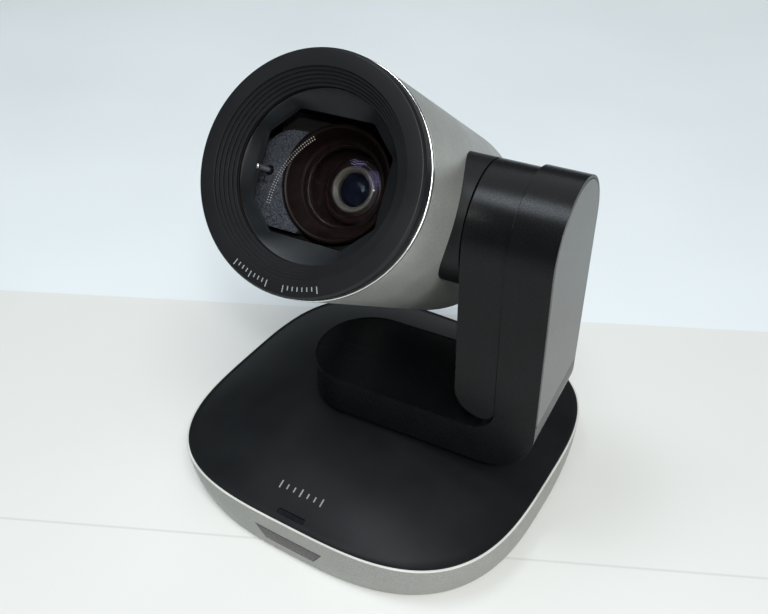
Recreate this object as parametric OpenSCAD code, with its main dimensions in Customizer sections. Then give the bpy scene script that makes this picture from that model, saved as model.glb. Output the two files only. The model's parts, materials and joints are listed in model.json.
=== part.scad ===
// Conference pan-tilt-zoom camera.
// A rounded-square base carries a one-armed yoke that pans; the yoke carries a
// barrel-shaped head that tilts; the head holds a motor-driven zoom lens.
// Millimetres. +Z is up, -Y is the front, and the origin is on the table under
// the centre of the base. Every sub-part is drawn where it sits at rest.

/* [Rest pose] */
// turn of the yoke about the pan axis, seen from above
rest_pan = 4; // [-30:1:30]
// upward tilt of the head
rest_tilt = 35.5; // [-30:0.5:90]

/* [Base] */
// overall width of the base
base_width = 131; // [127:0.5:135]
// overall depth of the base
base_depth = 126; // [122:0.5:130]
// squareness of the plan outline: 2 is an ellipse
corner_power = 3.3; // [2.6:0.1:4]
// height of the seam between tray and top shell
rim_height = 18.5; // [17:0.5:20]
// rise of the domed top above the seam
dome_rise = 15.4; // [14.4:0.2:16.4]
// gap between the table and the tray
foot_gap = 1.6; // [1:0.2:2.4]
// how far the tray tapers in from rim to underside
tray_taper = 0.95; // [0.9:0.01:0.98]
// wall of the base mouldings
base_wall = 2; // [1.6:0.2:2.4]
// half width of the cable bay at the rear
bay_half = 32; // [28:1:36]
// position of the port wall behind the base's centre
port_wall_y = 46.4; // [45:0.2:48]

/* [Yoke] */
// how far the pan axis stands in front of the base's centre
pan_forward = 3.5; // [0:0.5:5]
// height of the yoke's underside
yoke_bottom = 35.9; // [35.5:0.2:37.5]
// height of the foot's deck
deck_top = 49.5; // [48.5:0.5:50.5]
// half depth of the foot
foot_half = 19.3; // [18:0.1:20]
// centre of the foot's round end
foot_round_x = -4; // [-8:0.5:0]
// outer face of the arm
arm_outer_x = 63.8; // [62:0.2:66]
// seam between the arm's frame and its inner housing
arm_seam_x = 50.2; // [48:0.2:52]
// inner face of the arm
arm_inner_x = 36.4; // [36:0.2:38]
// radius of the arm's round top
arm_round = 20.4; // [19:0.2:22]
// radius of the yoke's lower outside corner
outer_corner = 18; // [12:1:20]
// radius of the yoke's inside corner
inner_corner = 9; // [6:0.5:10]
// wall of the yoke mouldings
yoke_wall = 2; // [1.6:0.2:2.4]

/* [Head] */
// height of the tilt axis above the table
tilt_height = 113; // [112:0.5:115]
// radius of the barrel
barrel_radius = 33.5; // [31:0.1:34]
// front edge of the barrel ahead of the tilt axis
barrel_front = 42; // [40:0.5:44]
// back of the head behind the tilt axis
head_back = 58; // [54:0.5:59]
// rounding of the back edge
back_round = 13; // [10:0.5:16]
// drop of the lens axis below the tilt axis
lens_drop = 0.8; // [0:0.1:1.5]
// outer face of the bezel ahead of the tilt axis
bezel_front = 46.7; // [45:0.1:48]
// radius of the bezel's front edge
bezel_radius = 32.7; // [31:0.1:33]
// radius of the opening in the bezel
opening_radius = 24; // [21:0.1:25]
// number of light-trapping steps in the bezel
bezel_steps = 5; // [3:1:7]
// radius of the dark hub on the head's side
hub_radius = 19.4; // [18:0.1:20]

/* [Lens] */
// radius of the ring around the front element
front_ring_radius = 16.8; // [15:0.1:18]
// clear radius of the front element
front_glass_radius = 11.8; // [10:0.1:12]
// front face of the lens ring ahead of the tilt axis
lens_front = 30; // [28:0.5:33]
// radius of the glass in the moving groups
group_glass_radius = 8; // [6:0.5:9]

/* [Drives] */
// teeth on each driven gear
gear_teeth = 60; // [48:6:72]
// teeth on each motor pinion
pinion_teeth = 15; // [13:2:17]
// tooth module of the pan gears
pan_module = 0.6; // [0.5:0.1:0.7]
// tooth module of the tilt gears
tilt_module = 0.5; // [0.4:0.1:0.5]
// radius of the hollow pan spindle
spindle_radius = 9; // [8:0.5:10]
// radius of the hollow tilt shaft
shaft_radius = 5.95; // [5:0.05:7]

/* [Hidden] */
$fa = 4;
$fs = 0.6;
eps = 0.01;
fit_gap = 0.05;
seam_gap = 0.1;
base_hx = base_width / 2;
base_hy = base_depth / 2;
outline_steps = 64;
rim_step = 0.6;
tray_floor = foot_gap + base_wall;
shell_hx = base_hx - rim_step;
shell_hy = base_hy - rim_step;
dome_top = rim_height + dome_rise;
neck_radius = 12.5;
bay_top = rim_height;
port_z = 9;
pan_pinion_x = -pan_module * (gear_teeth + pinion_teeth) / 2;
tilt_pinion_z = tilt_height - tilt_module * (gear_teeth + pinion_teeth) / 2;
gear_bottom = 12;
plate_z = dome_top - 12.4;
cover_low_z = deck_top + 5.4;
gear_width = 3;
housing_round = arm_round - 1;
housing_low_z = deck_top + 4.7;
housing_low_r = 9.5;
housing_low_x = arm_inner_x + housing_low_r;
hub_face_x = arm_inner_x - 0.3;
cap_seam = head_back - back_round;
opening_depth = 0.9;
window_x = -1.6;
opening_pitch = 0.85;
tray_levels = [foot_gap, 4.5, 8, 12, rim_height];
low_corner_power = corner_power - 0.6;
shell_levels = [1, 0.97, 0.92, 0.85, 0.75, 0.63, 0.5, 0.36, 0.24];
screw_points = [[50, 24], [50, -24], [-50, 24], [-50, -24]];
foot_points = [[42, 41], [42, -41], [-42, 41], [-42, -41]];
post_points = [for (x = [18, -18]) for (y = [21.4, -21.4]) [x, y - pan_forward]];
flange_screw_angles = [45, 135, 225, 315];
rod_points = [[-18.5, 10], [-18.5, -10]];
zoom_screw_x = -18.5;
focus_screw_x = 16;

// ---- placing ----

// stands things on the pan axis
module at_pan() {
  translate([0, -pan_forward, 0])
    children();
}

// stands things in the yoke's own frame
module at_yoke() {
  at_pan()
    rotate([0, 0, rest_pan])
      children();
}

// stands things in the head's own frame, with the tilt axis along X through its origin
module at_head() {
  at_yoke()
    translate([0, 0, tilt_height])
      rotate([-rest_tilt, 0, 0])
        children();
}

// stands things on the lens axis
module at_lens() {
  at_head()
    translate([0, 0, -lens_drop])
      children();
}

// turns a Z-axis solid so that its axis runs along +Y
module along_y() {
  rotate([-90, 0, 0])
    children();
}

// turns a Z-axis solid so that its axis runs along +X
module along_x() {
  rotate([0, 90, 0])
    children();
}

// block given by its low and high corners
module block(low, high) {
  translate(low)
    cube(high - low);
}

// rod along Y from y0 to y1 at a given x and z
module rod_y(x, z, r, y0, y1) {
  translate([x, y0, z])
    along_y()
      cylinder(r = r, h = y1 - y0);
}

// rod along X from x0 to x1 at a given y and z
module rod_x(y, z, r, x0, x1) {
  translate([x0, y, z])
    along_x()
      cylinder(r = r, h = x1 - x0);
}

// upright rod from z0 to z1
module rod_z(x, y, r, z0, z1) {
  translate([x, y, z0])
    cylinder(r = r, h = z1 - z0);
}

// drawing in the XZ plane swept along Y from -half to half
module sweep_y(half) {
  rotate([90, 0, 0])
    translate([0, 0, -half])
      linear_extrude(2 * half)
        children();
}

// drawing in the YZ plane swept along X from x0 to x1
module sweep_x(x0, x1) {
  translate([x0, 0, 0])
    rotate([90, 0, 90])
      linear_extrude(x1 - x0)
        children();
}

// rectangle given by its low and high corners
module rect(low, high) {
  translate(low)
    square(high - low);
}

// ---- outlines ----

function signed_power(v, p) = sign(v) * pow(abs(v), p);

function squircle(hx, hy, n) = [
  for (i = [0 : outline_steps - 1])
    let (a = 360 * i / outline_steps)
      [hx * signed_power(cos(a), 2 / n), hy * signed_power(sin(a), 2 / n)]
];

function lift(points, z) = [for (p = points) [p[0], p[1], z]];

function flatten(lists) = [for (l = lists) each l];

// side faces between ring i and ring j of a loft
function side_faces(i, j) = [
  for (k = [0 : outline_steps - 1])
    let (a = i * outline_steps + k)
      let (b = i * outline_steps + (k + 1) % outline_steps)
        let (c = j * outline_steps + (k + 1) % outline_steps)
          let (d = j * outline_steps + k)
            each [[a, d, c], [a, c, b]]
];

// ring-shaped loft: the rings run up the outside and back down the inside
module ring_loft(rings) {
  count = len(rings);
  faces = flatten([for (i = [0 : count - 1]) side_faces(i, (i + 1) % count)]);
  polyhedron(points = flatten(rings), faces = faces, convexity = 6);
}

// solid loft from the lowest ring to the highest
module solid_loft(rings) {
  count = len(rings);
  walls = flatten([for (i = [0 : count - 2]) side_faces(i, i + 1)]);
  floor_face = [[for (k = [0 : outline_steps - 1]) k]];
  last = (count - 1) * outline_steps;
  top_face = [[for (k = [outline_steps - 1 : -1 : 0]) last + k]];
  polyhedron(points = flatten(rings), faces = concat(walls, floor_face, top_face), convexity = 4);
}

function shell_power(s) = 2 + (corner_power - 2) * pow(s, 1.5);

function dome_z(s) = rim_height + dome_rise * (1 - s * s);

function shell_ring(s, z) = [
  for (p = squircle(s * shell_hx, s * shell_hy, shell_power(s)))
    [p[0], p[1] - pan_forward * (1 - s * s), z]
];

// share of the band's height that a level lies below the rim
function below_rim(z) = max(0, (rim_height - z) / (rim_height - foot_gap));

function tray_scale(z) = 1 - (1 - tray_taper) * pow(below_rim(z), 2.6);

function tray_power(z) = corner_power + (low_corner_power - corner_power) * pow(below_rim(z), 1.5);

function tray_ring(z, inset) = lift(
  squircle(tray_scale(z) * base_hx - inset, tray_scale(z) * base_hy - inset, tray_power(z)), z);

module tray_body(inset) {
  solid_loft([for (z = tray_levels) tray_ring(z, inset)]);
}

// front window outline in the silver band
module ir_outline(grow) {
  polygon([
    [-13.3 - grow, 11.7 + grow], [13.3 + grow, 11.7 + grow],
    [9.5 + grow, 6.2 - grow], [-9.5 - grow, 6.2 - grow]
  ]);
}

// rear cable bay that the tray leaves free
module bay_cut() {
  block([-bay_half, port_wall_y, -1], [bay_half, base_hy + 5, bay_top + 1]);
}

// ---- gears ----

function involute(r, rb) = r <= rb ? 0 : sqrt(pow(r / rb, 2) - 1) * 180 / PI - acos(rb / r);

function tooth_half_angle(r, rp, rb, teeth) =
  90 / teeth + involute(rp, rb) - involute(r, rb) - 0.04 / rp * 180 / PI;

function polar(r, a) = [r * cos(a), r * sin(a)];

// spur gear outline with a tooth on the +X axis
module gear_outline(teeth, size) {
  rp = size * teeth / 2;
  rb = rp * cos(20);
  radii = [rp - 1.2 * size, rp - 0.4 * size, rp + 0.3 * size, rp + 0.9 * size];
  half = [for (r = radii) tooth_half_angle(max(r, rb), rp, rb, teeth)];
  polygon([
    for (t = [0 : teeth - 1])
      let (c = 360 * t / teeth)
        each [
          polar(radii[0], c - half[0]), polar(radii[1], c - half[1]),
          polar(radii[2], c - half[2]), polar(radii[3], c - half[3]),
          polar(radii[3], c + half[3]), polar(radii[2], c + half[2]),
          polar(radii[1], c + half[1]), polar(radii[0], c + half[0])
        ]
  ]);
}

// ---- base ----

module bottom_tray() {
  color("silver")
    difference() {
      union() {
        difference() {
          tray_body(0);
          solid_loft([
            for (z = [tray_floor, 5.5, 8, 12, rim_height + 1])
              tray_ring(z, base_wall)
          ]);
        }
        rod_z(0, 0, 8.5, foot_gap + 1, 9);
      }
      rod_z(0, 0, 5.5 + eps, 0, 10);
      for (p = foot_points)
        rod_z(p[0], p[1], 5.1, 0, foot_gap + 0.6);
      for (p = screw_points) {
        rod_z(p[0], p[1], 2.6, 0, foot_gap + 1);
        rod_z(p[0], p[1], 1.35, 0, 5);
      }
      bay_cut();
      translate([0, -base_hy + 3, 0])
        sweep_y(6)
          ir_outline(0.1);
    }
}

module top_shell() {
  outer = [for (s = shell_levels) shell_ring(s, dome_z(s) + 0.05)];
  inner = [
    for (i = [len(shell_levels) - 1 : -1 : 2])
      shell_ring(shell_levels[i], dome_z(shell_levels[i]) - base_wall)
  ];
  hole_out = [shell_ring(0.14, dome_top), shell_ring(0.14, dome_top - base_wall)];
  lip = [shell_ring(0.92, rim_height + 0.05)];
  color("dimgray")
    difference() {
      union() {
        ring_loft(concat(outer, hole_out, inner, lip));
        for (p = screw_points)
          rod_z(p[0], p[1], 3.2, tray_floor + fit_gap, dome_z(0.81) - 1.5);
      }
      at_pan()
        rod_z(0, 0, neck_radius, 10, dome_top + 5);
      for (p = screw_points)
        rod_z(p[0], p[1], 1.25, 0, 13);
      block([-5.2, -60.4, 8], [5.2, -58.8, dome_top]);
    }
}

module rubber_feet() {
  color("black")
    for (p = foot_points)
      rod_z(p[0], p[1], 5, 0, foot_gap + 0.6);
}

module tripod_insert() {
  color("gold")
    difference() {
      rod_z(0, 0, 5.5, foot_gap, 9);
      rod_z(0, 0, 2.65, 0, 8);
    }
}

module ballast_plate() {
  color("slategray")
    translate([0, 0, tray_floor + seam_gap])
      linear_extrude(2)
        difference() {
          intersection() {
            polygon(squircle(base_hx * 0.86, base_hy * 0.86, corner_power));
            rect([-70, -48], [70, 5]);
          }
          circle(r = 10);
          translate([pan_pinion_x, -pan_forward])
            circle(r = 11);
          for (p = concat(screw_points, post_points))
            translate(p)
              circle(r = 4);
        }
}

module base_screws() {
  color("gray")
    for (p = screw_points) {
      rod_z(p[0], p[1], 2.4, foot_gap + 0.1, foot_gap + 0.9);
      rod_z(p[0], p[1], 1.25, foot_gap + 0.9, 12);
    }
}

module main_board() {
  color("green")
    translate([0, 0, 6])
      linear_extrude(1.6)
        difference() {
          rect([-43, 12.5], [43, 33.5]);
          for (p = concat(screw_points, post_points))
            translate(p)
              circle(r = 3.8);
        }
}

module board_chips() {
  color("black") {
    block([-8, 16, 7.6], [6, 30, 9.2]);
    block([-36, 18, 7.6], [-26, 26, 9]);
    block([26, 17, 7.6], [37, 25, 9]);
    rod_z(-30, 30, 2, 7.6, 11);
    rod_z(30, 29.5, 2, 7.6, 11);
  }
}

module port_panel() {
  low = tray_floor + 0.1;
  high = bay_top - 0.1;
  side = bay_half - 0.2;
  color("dimgray")
    difference() {
      union() {
        block([-side, port_wall_y - 2, low], [side, port_wall_y, high]);
        for (x = [-side, side - 1.6])
          sweep_x(x, x + 1.6)
            polygon([[port_wall_y - 1, low], [port_wall_y + 0.1, low], [port_wall_y + 0.1, foot_gap],
                     [base_hy - 8, foot_gap], [base_hy - 4, 9], [base_hy - 4, high - 0.4],
                     [port_wall_y - 1, high - 0.4]]);
        translate([0, 0, high - 0.8])
          linear_extrude(0.8)
            polygon([[-side, port_wall_y - 1.2], [side, port_wall_y - 1.2], [side, base_hy - 4],
                     [20, base_hy - 4], [20, base_hy], [-20, base_hy], [-20, base_hy - 4],
                     [-side, base_hy - 4]]);
      }
      block([-26.9, port_wall_y - 3, port_z - 3.3], [-18.1, port_wall_y + 1, port_z + 3.3]);
      block([-8.2, port_wall_y - 3, port_z - 1.7], [0.2, port_wall_y + 1, port_z + 1.7]);
      rod_y(12, port_z, 3.35, port_wall_y - 3, port_wall_y + 1);
      block([21.9, port_wall_y - 3, port_z - 2.1], [29.1, port_wall_y + 1, port_z + 2.1]);
    }
}

module power_jack() {
  color("black")
    difference() {
      block([-26.8, 34, port_z - 3.2], [-18.2, port_wall_y, port_z + 3.2]);
      rod_y(-22.5, port_z, 2.8, 37, port_wall_y + 1);
    }
  color("silver")
    rod_y(-22.5, port_z, 1, 36.9, port_wall_y - 1);
}

module usb_port() {
  color("silver")
    difference() {
      block([-8.1, 37, port_z - 1.6], [0.1, port_wall_y, port_z + 1.6]);
      block([-7.7, 39, port_z - 1.2], [-0.3, port_wall_y + 1, port_z + 1.2]);
    }
  color("black")
    block([-6.7, 38.9, port_z - 0.4], [-1.3, port_wall_y - 1, port_z + 0.4]);
}

module control_socket() {
  color("black")
    difference() {
      rod_y(12, port_z, 3.25, 36, port_wall_y);
      rod_y(12, port_z, 2.8, 41, port_wall_y + 1);
    }
  color("gray")
    rod_y(12, port_z, 1.7, 40.9, port_wall_y - 1.5);
}

module lock_slot() {
  color("silver")
    difference() {
      block([22, port_wall_y - 1.5, port_z - 2], [29, port_wall_y, port_z + 2]);
      block([23, port_wall_y - 2, port_z - 1.3], [28, port_wall_y + 1, port_z + 1.3]);
    }
}

module led_window() {
  color("darkslategray")
    block([-5.1, -60.3, rim_height - 1], [5.1, -58.9, rim_height + 0.8]);
}

module ir_window() {
  color("darkslategray")
    intersection() {
      difference() {
        tray_body(0.25);
        tray_body(base_wall);
      }
      translate([0, -base_hy + 3, 0])
        sweep_y(6)
          ir_outline(0);
    }
}

module ir_receiver() {
  color("black")
    union() {
      block([-3, -53.5, tray_floor + 2.2], [3, -50.5, 12.4]);
      rod_y(0, 9, 2, -55, -53.5);
    }
}

module bearing_plate() {
  color("dimgray") {
    difference() {
      union() {
        at_pan() {
          rod_z(0, 0, 33, plate_z, plate_z + 2);
          rod_z(0, 0, 14.5, plate_z + 2, plate_z + 7.5);
        }
        for (p = post_points)
          rod_z(p[0], p[1], 3, tray_floor + fit_gap, plate_z);
      }
      at_pan() {
        rod_z(0, 0, 12 + eps, plate_z + 1, plate_z + 8);
        rod_z(0, 0, 10.5, plate_z - 1, plate_z + 8);
      }
    }
  }
}

module pan_bearing() {
  color("silver")
    difference() {
      rod_z(0, 0, 12, plate_z + 1 + eps, plate_z + 7);
      rod_z(0, 0, spindle_radius + fit_gap, plate_z, plate_z + 8);
    }
}

module pan_motor() {
  color("gray")
    difference() {
      rod_z(pan_pinion_x, 0, 10, tray_floor + 0.1, 11.2);
      rod_z(pan_pinion_x, 0, 1 + fit_gap, 6, 12);
    }
}

module pan_pinion() {
  color("gold")
    translate([pan_pinion_x, 0, 0]) {
      rod_z(0, 0, 1, 6.4, 12.5);
      translate([0, 0, gear_bottom - 0.2])
        rotate([0, 0, 180 / pinion_teeth])
          linear_extrude(gear_width + 0.4)
            gear_outline(pinion_teeth, pan_module);
    }
}

// ---- yoke ----

// side view of the arm, narrowed by inset all round
module arm_side(radius, low_half, low_z, inset) {
  translate([0, tilt_height])
    circle(r = radius - inset);
  polygon([
    [-low_half + inset, low_z], [low_half - inset, low_z],
    [radius - inset, tilt_height], [-radius + inset, tilt_height]
  ]);
}

// plan of the foot, narrowed by inset all round
module foot_plan(inset) {
  translate([foot_round_x, 0])
    circle(r = foot_half - inset);
  rect([foot_round_x, -foot_half + inset], [arm_seam_x - 5, foot_half - inset]);
  rect([arm_seam_x - 5, -arm_round - 1 + inset], [arm_outer_x + 5, arm_round + 1 - inset]);
}

// front view of the lower outside corner, cut back by inset
module corner_waste(inset) {
  cx = arm_outer_x - outer_corner;
  cz = yoke_bottom + outer_corner;
  difference() {
    rect([cx, yoke_bottom - 1], [arm_outer_x + 1, cz]);
    translate([cx, cz])
      circle(r = outer_corner - inset);
  }
}

// front view of the whole yoke frame
module frame_front() {
  cx = arm_seam_x - inner_corner;
  cz = deck_top + inner_corner;
  difference() {
    union() {
      rect([foot_round_x - foot_half - 1, yoke_bottom], [arm_outer_x, deck_top]);
      rect([cx, deck_top - 1], [arm_outer_x, cz]);
      rect([arm_seam_x, yoke_bottom], [arm_outer_x, tilt_height + arm_round + 1]);
    }
    translate([cx, cz])
      circle(r = inner_corner);
    corner_waste(0);
  }
}

// front view of the hollow inside the yoke frame
module frame_hollow() {
  floor_z = yoke_bottom + yoke_wall + 0.4;
  difference() {
    union() {
      rect([foot_round_x - foot_half, floor_z], [arm_outer_x - yoke_wall, deck_top + 16]);
      rect([arm_seam_x - 20, cover_low_z + 1], [arm_outer_x + 2, tilt_height + arm_round]);
    }
    intersection() {
      corner_waste(yoke_wall);
      rect([0, 0], [arm_outer_x + 1, cover_low_z - 0.4]);
    }
  }
}

// front view of the deck lining, from the flat deck up into the inside corner
module deck_front_view(lower, upper) {
  cx = arm_seam_x - inner_corner;
  cz = deck_top + inner_corner;
  rect([foot_round_x - foot_half, deck_top - lower], [cx, deck_top - upper]);
  intersection() {
    difference() {
      translate([cx, cz])
        circle(r = inner_corner + lower);
      translate([cx, cz])
        circle(r = inner_corner + upper);
    }
    rect([cx, deck_top - 3], [arm_seam_x, cz]);
  }
}

module yoke_frame() {
  color("dimgray")
    difference() {
      union() {
        intersection() {
          sweep_y(arm_round + 2)
            frame_front();
          sweep_x(foot_round_x - foot_half - 2, arm_outer_x + 2)
            arm_side(arm_round, foot_half - 0.1, yoke_bottom - 1, 0);
          linear_extrude(tilt_height + 40)
            foot_plan(0);
        }
        rod_z(0, 0, 16.5, yoke_bottom - 1.2, yoke_bottom + 0.5);
      }
      intersection() {
        sweep_y(arm_round + 2)
          frame_hollow();
        sweep_x(foot_round_x - foot_half, arm_outer_x + 3)
          arm_side(arm_round, foot_half - 0.1, yoke_bottom - 1, yoke_wall);
        linear_extrude(tilt_height + 40)
          foot_plan(yoke_wall);
      }
      intersection() {
        sweep_y(arm_round + 2)
          deck_front_view(1.9, -4);
        linear_extrude(tilt_height)
          foot_plan(0.9);
        block([-40, -foot_half + 0.9, 0], [arm_seam_x, foot_half - 0.9, deck_top + 16]);
      }
      sweep_x(arm_outer_x - 1.6, arm_outer_x + 2)
        arm_side(arm_round, foot_half, cover_low_z, 0.9);
      rod_z(0, 0, spindle_radius + fit_gap, yoke_bottom - 3, yoke_bottom + 5);
      for (a = flange_screw_angles)
        rotate([0, 0, a])
          rod_z(12, 0, 1.05, yoke_bottom - 3, yoke_bottom + 5);
    }
}

module deck_half(side) {
  low = side > 0 ? seam_gap / 2 : -foot_half;
  high = side > 0 ? foot_half : -seam_gap / 2;
  intersection() {
    sweep_y(foot_half)
      deck_front_view(1.8, 0.2);
    linear_extrude(deck_top + 20)
      foot_plan(1);
    block([-40, low, 30], [arm_seam_x - 0.1, high, deck_top + 16]);
    block([-40, -foot_half + 1, 30], [60, foot_half - 1, deck_top + 16]);
  }
}

module deck_front() {
  color("black")
    deck_half(-1);
}

module deck_rear() {
  color("black")
    deck_half(1);
}

// front view of the inner housing
module housing_front(inset) {
  low_r = arm_seam_x - housing_low_x - inset;
  rect([arm_inner_x + inset, housing_low_z + housing_low_r], [arm_seam_x, tilt_height + 30]);
  intersection() {
    translate([housing_low_x, housing_low_z + housing_low_r])
      circle(r = housing_low_r - inset);
    rect([arm_inner_x, housing_low_z - 1], [housing_low_x, housing_low_z + housing_low_r]);
  }
  translate([housing_low_x, housing_low_z + inset + low_r])
    circle(r = low_r);
  rect([housing_low_x, housing_low_z + inset + low_r],
    [arm_seam_x - inset, housing_low_z + housing_low_r]);
}

module inner_housing() {
  half = foot_half - 0.3;
  color("dimgray")
    difference() {
      union() {
        difference() {
          intersection() {
            sweep_y(arm_round)
              housing_front(0);
            sweep_x(arm_inner_x - 1, arm_seam_x - 0.1)
              arm_side(housing_round, half, housing_low_z - 1, 0);
          }
          intersection() {
            sweep_y(arm_round)
              housing_front(yoke_wall - 0.2);
            sweep_x(arm_inner_x - 1, arm_seam_x + 1)
              arm_side(housing_round, half, housing_low_z - 1, yoke_wall - 0.2);
          }
        }
        rod_x(0, tilt_height, 11, arm_inner_x + 1, arm_inner_x + 6);
      }
      rod_x(0, tilt_height, 9 + eps, arm_inner_x + 2, arm_inner_x + 8);
      rod_x(0, tilt_height, shaft_radius + 0.6, arm_inner_x - 1, arm_inner_x + 8);
    }
}

module side_cover() {
  color("gray") {
    sweep_x(arm_outer_x - 1.5, arm_outer_x - 0.4)
      arm_side(arm_round, foot_half, cover_low_z + 0.2, 1.05);
    sweep_x(arm_outer_x - 0.4, arm_outer_x + 0.2)
      arm_side(arm_round, foot_half, cover_low_z + 0.7, 1.6);
  }
}

module pan_spindle() {
  floor_z = yoke_bottom + yoke_wall + 0.45;
  color("silver")
    difference() {
      union() {
        rod_z(0, 0, spindle_radius, 11, floor_z + 1);
        rod_z(0, 0, 15, floor_z, floor_z + 2);
      }
      rod_z(0, 0, 6.2, 10, floor_z + 3);
      for (a = flange_screw_angles)
        rotate([0, 0, a])
          rod_z(12, 0, 1.05, floor_z - 1, floor_z + 3);
    }
}

module pan_gear() {
  color("white")
    difference() {
      translate([0, 0, gear_bottom])
        linear_extrude(gear_width)
          rotate([0, 0, 180])
            gear_outline(gear_teeth, pan_module);
      rod_z(0, 0, spindle_radius + eps, gear_bottom - 1, gear_bottom + gear_width + 1);
    }
}

module spindle_screws() {
  head_z = yoke_bottom + yoke_wall + 2.5;
  color("gray")
    for (a = flange_screw_angles)
      rotate([0, 0, a]) {
        rod_z(12, 0, 1, yoke_bottom + 0.2, head_z);
        rod_z(12, 0, 1.8, head_z, head_z + 1.1);
      }
}

module tilt_bearing() {
  color("silver")
    difference() {
      rod_x(0, tilt_height, 9, arm_inner_x + 2.02, arm_inner_x + 6);
      rod_x(0, tilt_height, shaft_radius + fit_gap, arm_inner_x, arm_inner_x + 8);
    }
}

module tilt_bracket() {
  color("silver")
    difference() {
      block([48, -15, tilt_pinion_z - 12], [49, 15, tilt_pinion_z + 7]);
      rod_x(0, tilt_pinion_z, 2.5, 47, 50);
    }
}

module tilt_motor() {
  color("gray")
    difference() {
      rod_x(0, tilt_pinion_z, 9, 49.1, 57.1);
      rod_x(0, tilt_pinion_z, 1 + fit_gap, 48, 55);
    }
}

module tilt_pinion() {
  color("gold")
    translate([0, 0, tilt_pinion_z]) {
      rod_x(0, 0, 1, 46, 54.6);
      translate([43.4, 0, 0])
        along_x()
          linear_extrude(3.4)
            gear_outline(pinion_teeth, tilt_module);
    }
}

module ribbon_cable() {
  color("black") {
    block([47.6, -3, tilt_height - 0.3], [58.4, 3, tilt_height + 0.3]);
    block([57.8, -3, deck_top - 4], [58.4, 3, tilt_height + 0.3]);
    block([-0.3, -3, deck_top - 4], [58.4, 3, deck_top - 3.4]);
    block([-0.3, -3, 13], [0.3, 3, deck_top - 3.4]);
  }
}

// ---- head ----

// half section of the head's outside, from y0 to the rounded back
module barrel_section(radius, y0, back, rounding) {
  rect([0, y0], [radius, back - rounding]);
  rect([0, y0], [radius - rounding, back]);
  translate([radius - rounding, back - rounding])
    circle(r = rounding);
}

// solid turned from a half section, with its axis along Y
module turned() {
  along_y()
    rotate_extrude()
      intersection() {
        children();
        rect([0, -100], [100, 100]);
      }
}

module barrel_shell() {
  color("darkgray")
    difference() {
      turned()
        rect([barrel_radius - 2, -barrel_front + 1.3], [barrel_radius, cap_seam]);
      translate([0, 0, lens_drop])
        rod_x(0, 0, 13, 20, barrel_radius + 1);
    }
}

module rear_cap() {
  color("darkgray")
    turned()
      difference() {
        barrel_section(barrel_radius, 0, head_back, back_round);
        barrel_section(barrel_radius - 2, 0, head_back - 2, back_round - 2);
        rect([0, -1], [barrel_radius + 1, cap_seam + 0.15]);
      }
}

module side_hub() {
  color("darkslategray")
    difference() {
      rod_x(0, 0, hub_radius, 22, hub_face_x);
      rod_x(0, 0, hub_radius - 2.2, 21, hub_face_x - 2);
      rod_x(0, 0, shaft_radius + eps, 21, hub_face_x + 1);
      translate([0, 0, -lens_drop])
        rod_y(0, 0, barrel_radius + fit_gap, -40, 40);
    }
}

module trim_ring() {
  color("white")
    turned()
      rect([barrel_radius - 1.9, -barrel_front], [barrel_radius + 0.15, -barrel_front + 1.2]);
}

module front_bezel() {
  lip_y = -barrel_front - 0.1;
  first = opening_radius + bezel_steps * opening_pitch;
  steps = [
    for (i = [0 : bezel_steps - 1])
      let (r = first - i * opening_pitch)
        let (y = -bezel_front + i * opening_depth)
          each [[r, y], [r, y + opening_depth]]
  ];
  edge = [
    [opening_radius, -bezel_front + bezel_steps * opening_depth],
    [opening_radius, -40.6], [barrel_radius - 2.2, -40.6], [barrel_radius - 2.2, lip_y],
    [barrel_radius - 0.1, lip_y], [bezel_radius + 0.15, -bezel_front + 1],
    [bezel_radius - 0.6, -bezel_front]
  ];
  color("black")
    turned()
      polygon(concat(steps, edge));
}

// plan of the eight-sided window in front of the lens
module hood_window(grow) {
  hx = 19.9 + grow;
  hz = 17.6 + grow;
  c = 8;
  translate([window_x, 0])
    polygon([
      [-hx + c, -hz], [hx - c, -hz], [hx, -hz + c], [hx, hz - c],
      [hx - c, hz], [-hx + c, hz], [-hx, hz - c], [-hx, -hz + c]
    ]);
}

module lens_hood() {
  color("black")
    difference() {
      rod_y(0, 0, barrel_radius - 2.2, -40.5, -34);
      hull() {
        rod_y(0, 0, opening_radius, -41, -40.4);
        translate([0, -36, 0])
          rotate([90, 0, 0])
            linear_extrude(0.1)
              hood_window(0);
      }
      sweep_y(50)
        hood_window(0);
    }
}

module lens_housing() {
  color("dimgray")
    difference() {
      union() {
        block([-25, -lens_front + 1, -15], [20, 32, 15]);
        rod_y(0, 0, front_ring_radius + 1, -lens_front + 3, -lens_front + 8);
      }
      block([-23, -lens_front + 5, -13.2], [18.6, 33, 13.2]);
      rod_y(0, 0, front_ring_radius - 1.5, -lens_front - 1, -lens_front + 6);
      for (p = rod_points)
        rod_y(p[0], p[1], 1 + eps, -lens_front + 2.5, -lens_front + 6);
    }
}

module front_ring() {
  r = front_ring_radius;
  g = front_glass_radius;
  y = -lens_front;
  color("black")
    turned()
      polygon([
        [r - 1.6, y + 5.9], [r - 1.6, y + 0.95], [r, y + 0.95], [r, y - 1.2],
        [r - 1.4, y - 1.2], [r - 1.8, y + 1], [g + 1.2, y + 2.6], [g + 1, y + 3.4],
        [g + 0.2, y + 3.6], [g + 0.2, y + 5.9]
      ]);
}

// biconvex lens of the given rim radius, centre thickness and sphere radius, axis along Y
module biconvex(rim, thick, ball, y) {
  along_y()
    rotate_extrude()
      intersection() {
        translate([0, y + ball - thick / 2])
          circle(r = ball, $fn = 360);
        translate([0, y - ball + thick / 2])
          circle(r = ball, $fn = 360);
        rect([0, y - thick], [rim, y + thick]);
      }
}

module front_element() {
  color("lightblue", 0.5)
    biconvex(front_glass_radius, 5, 34, -lens_front + 5.6);
}

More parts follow.
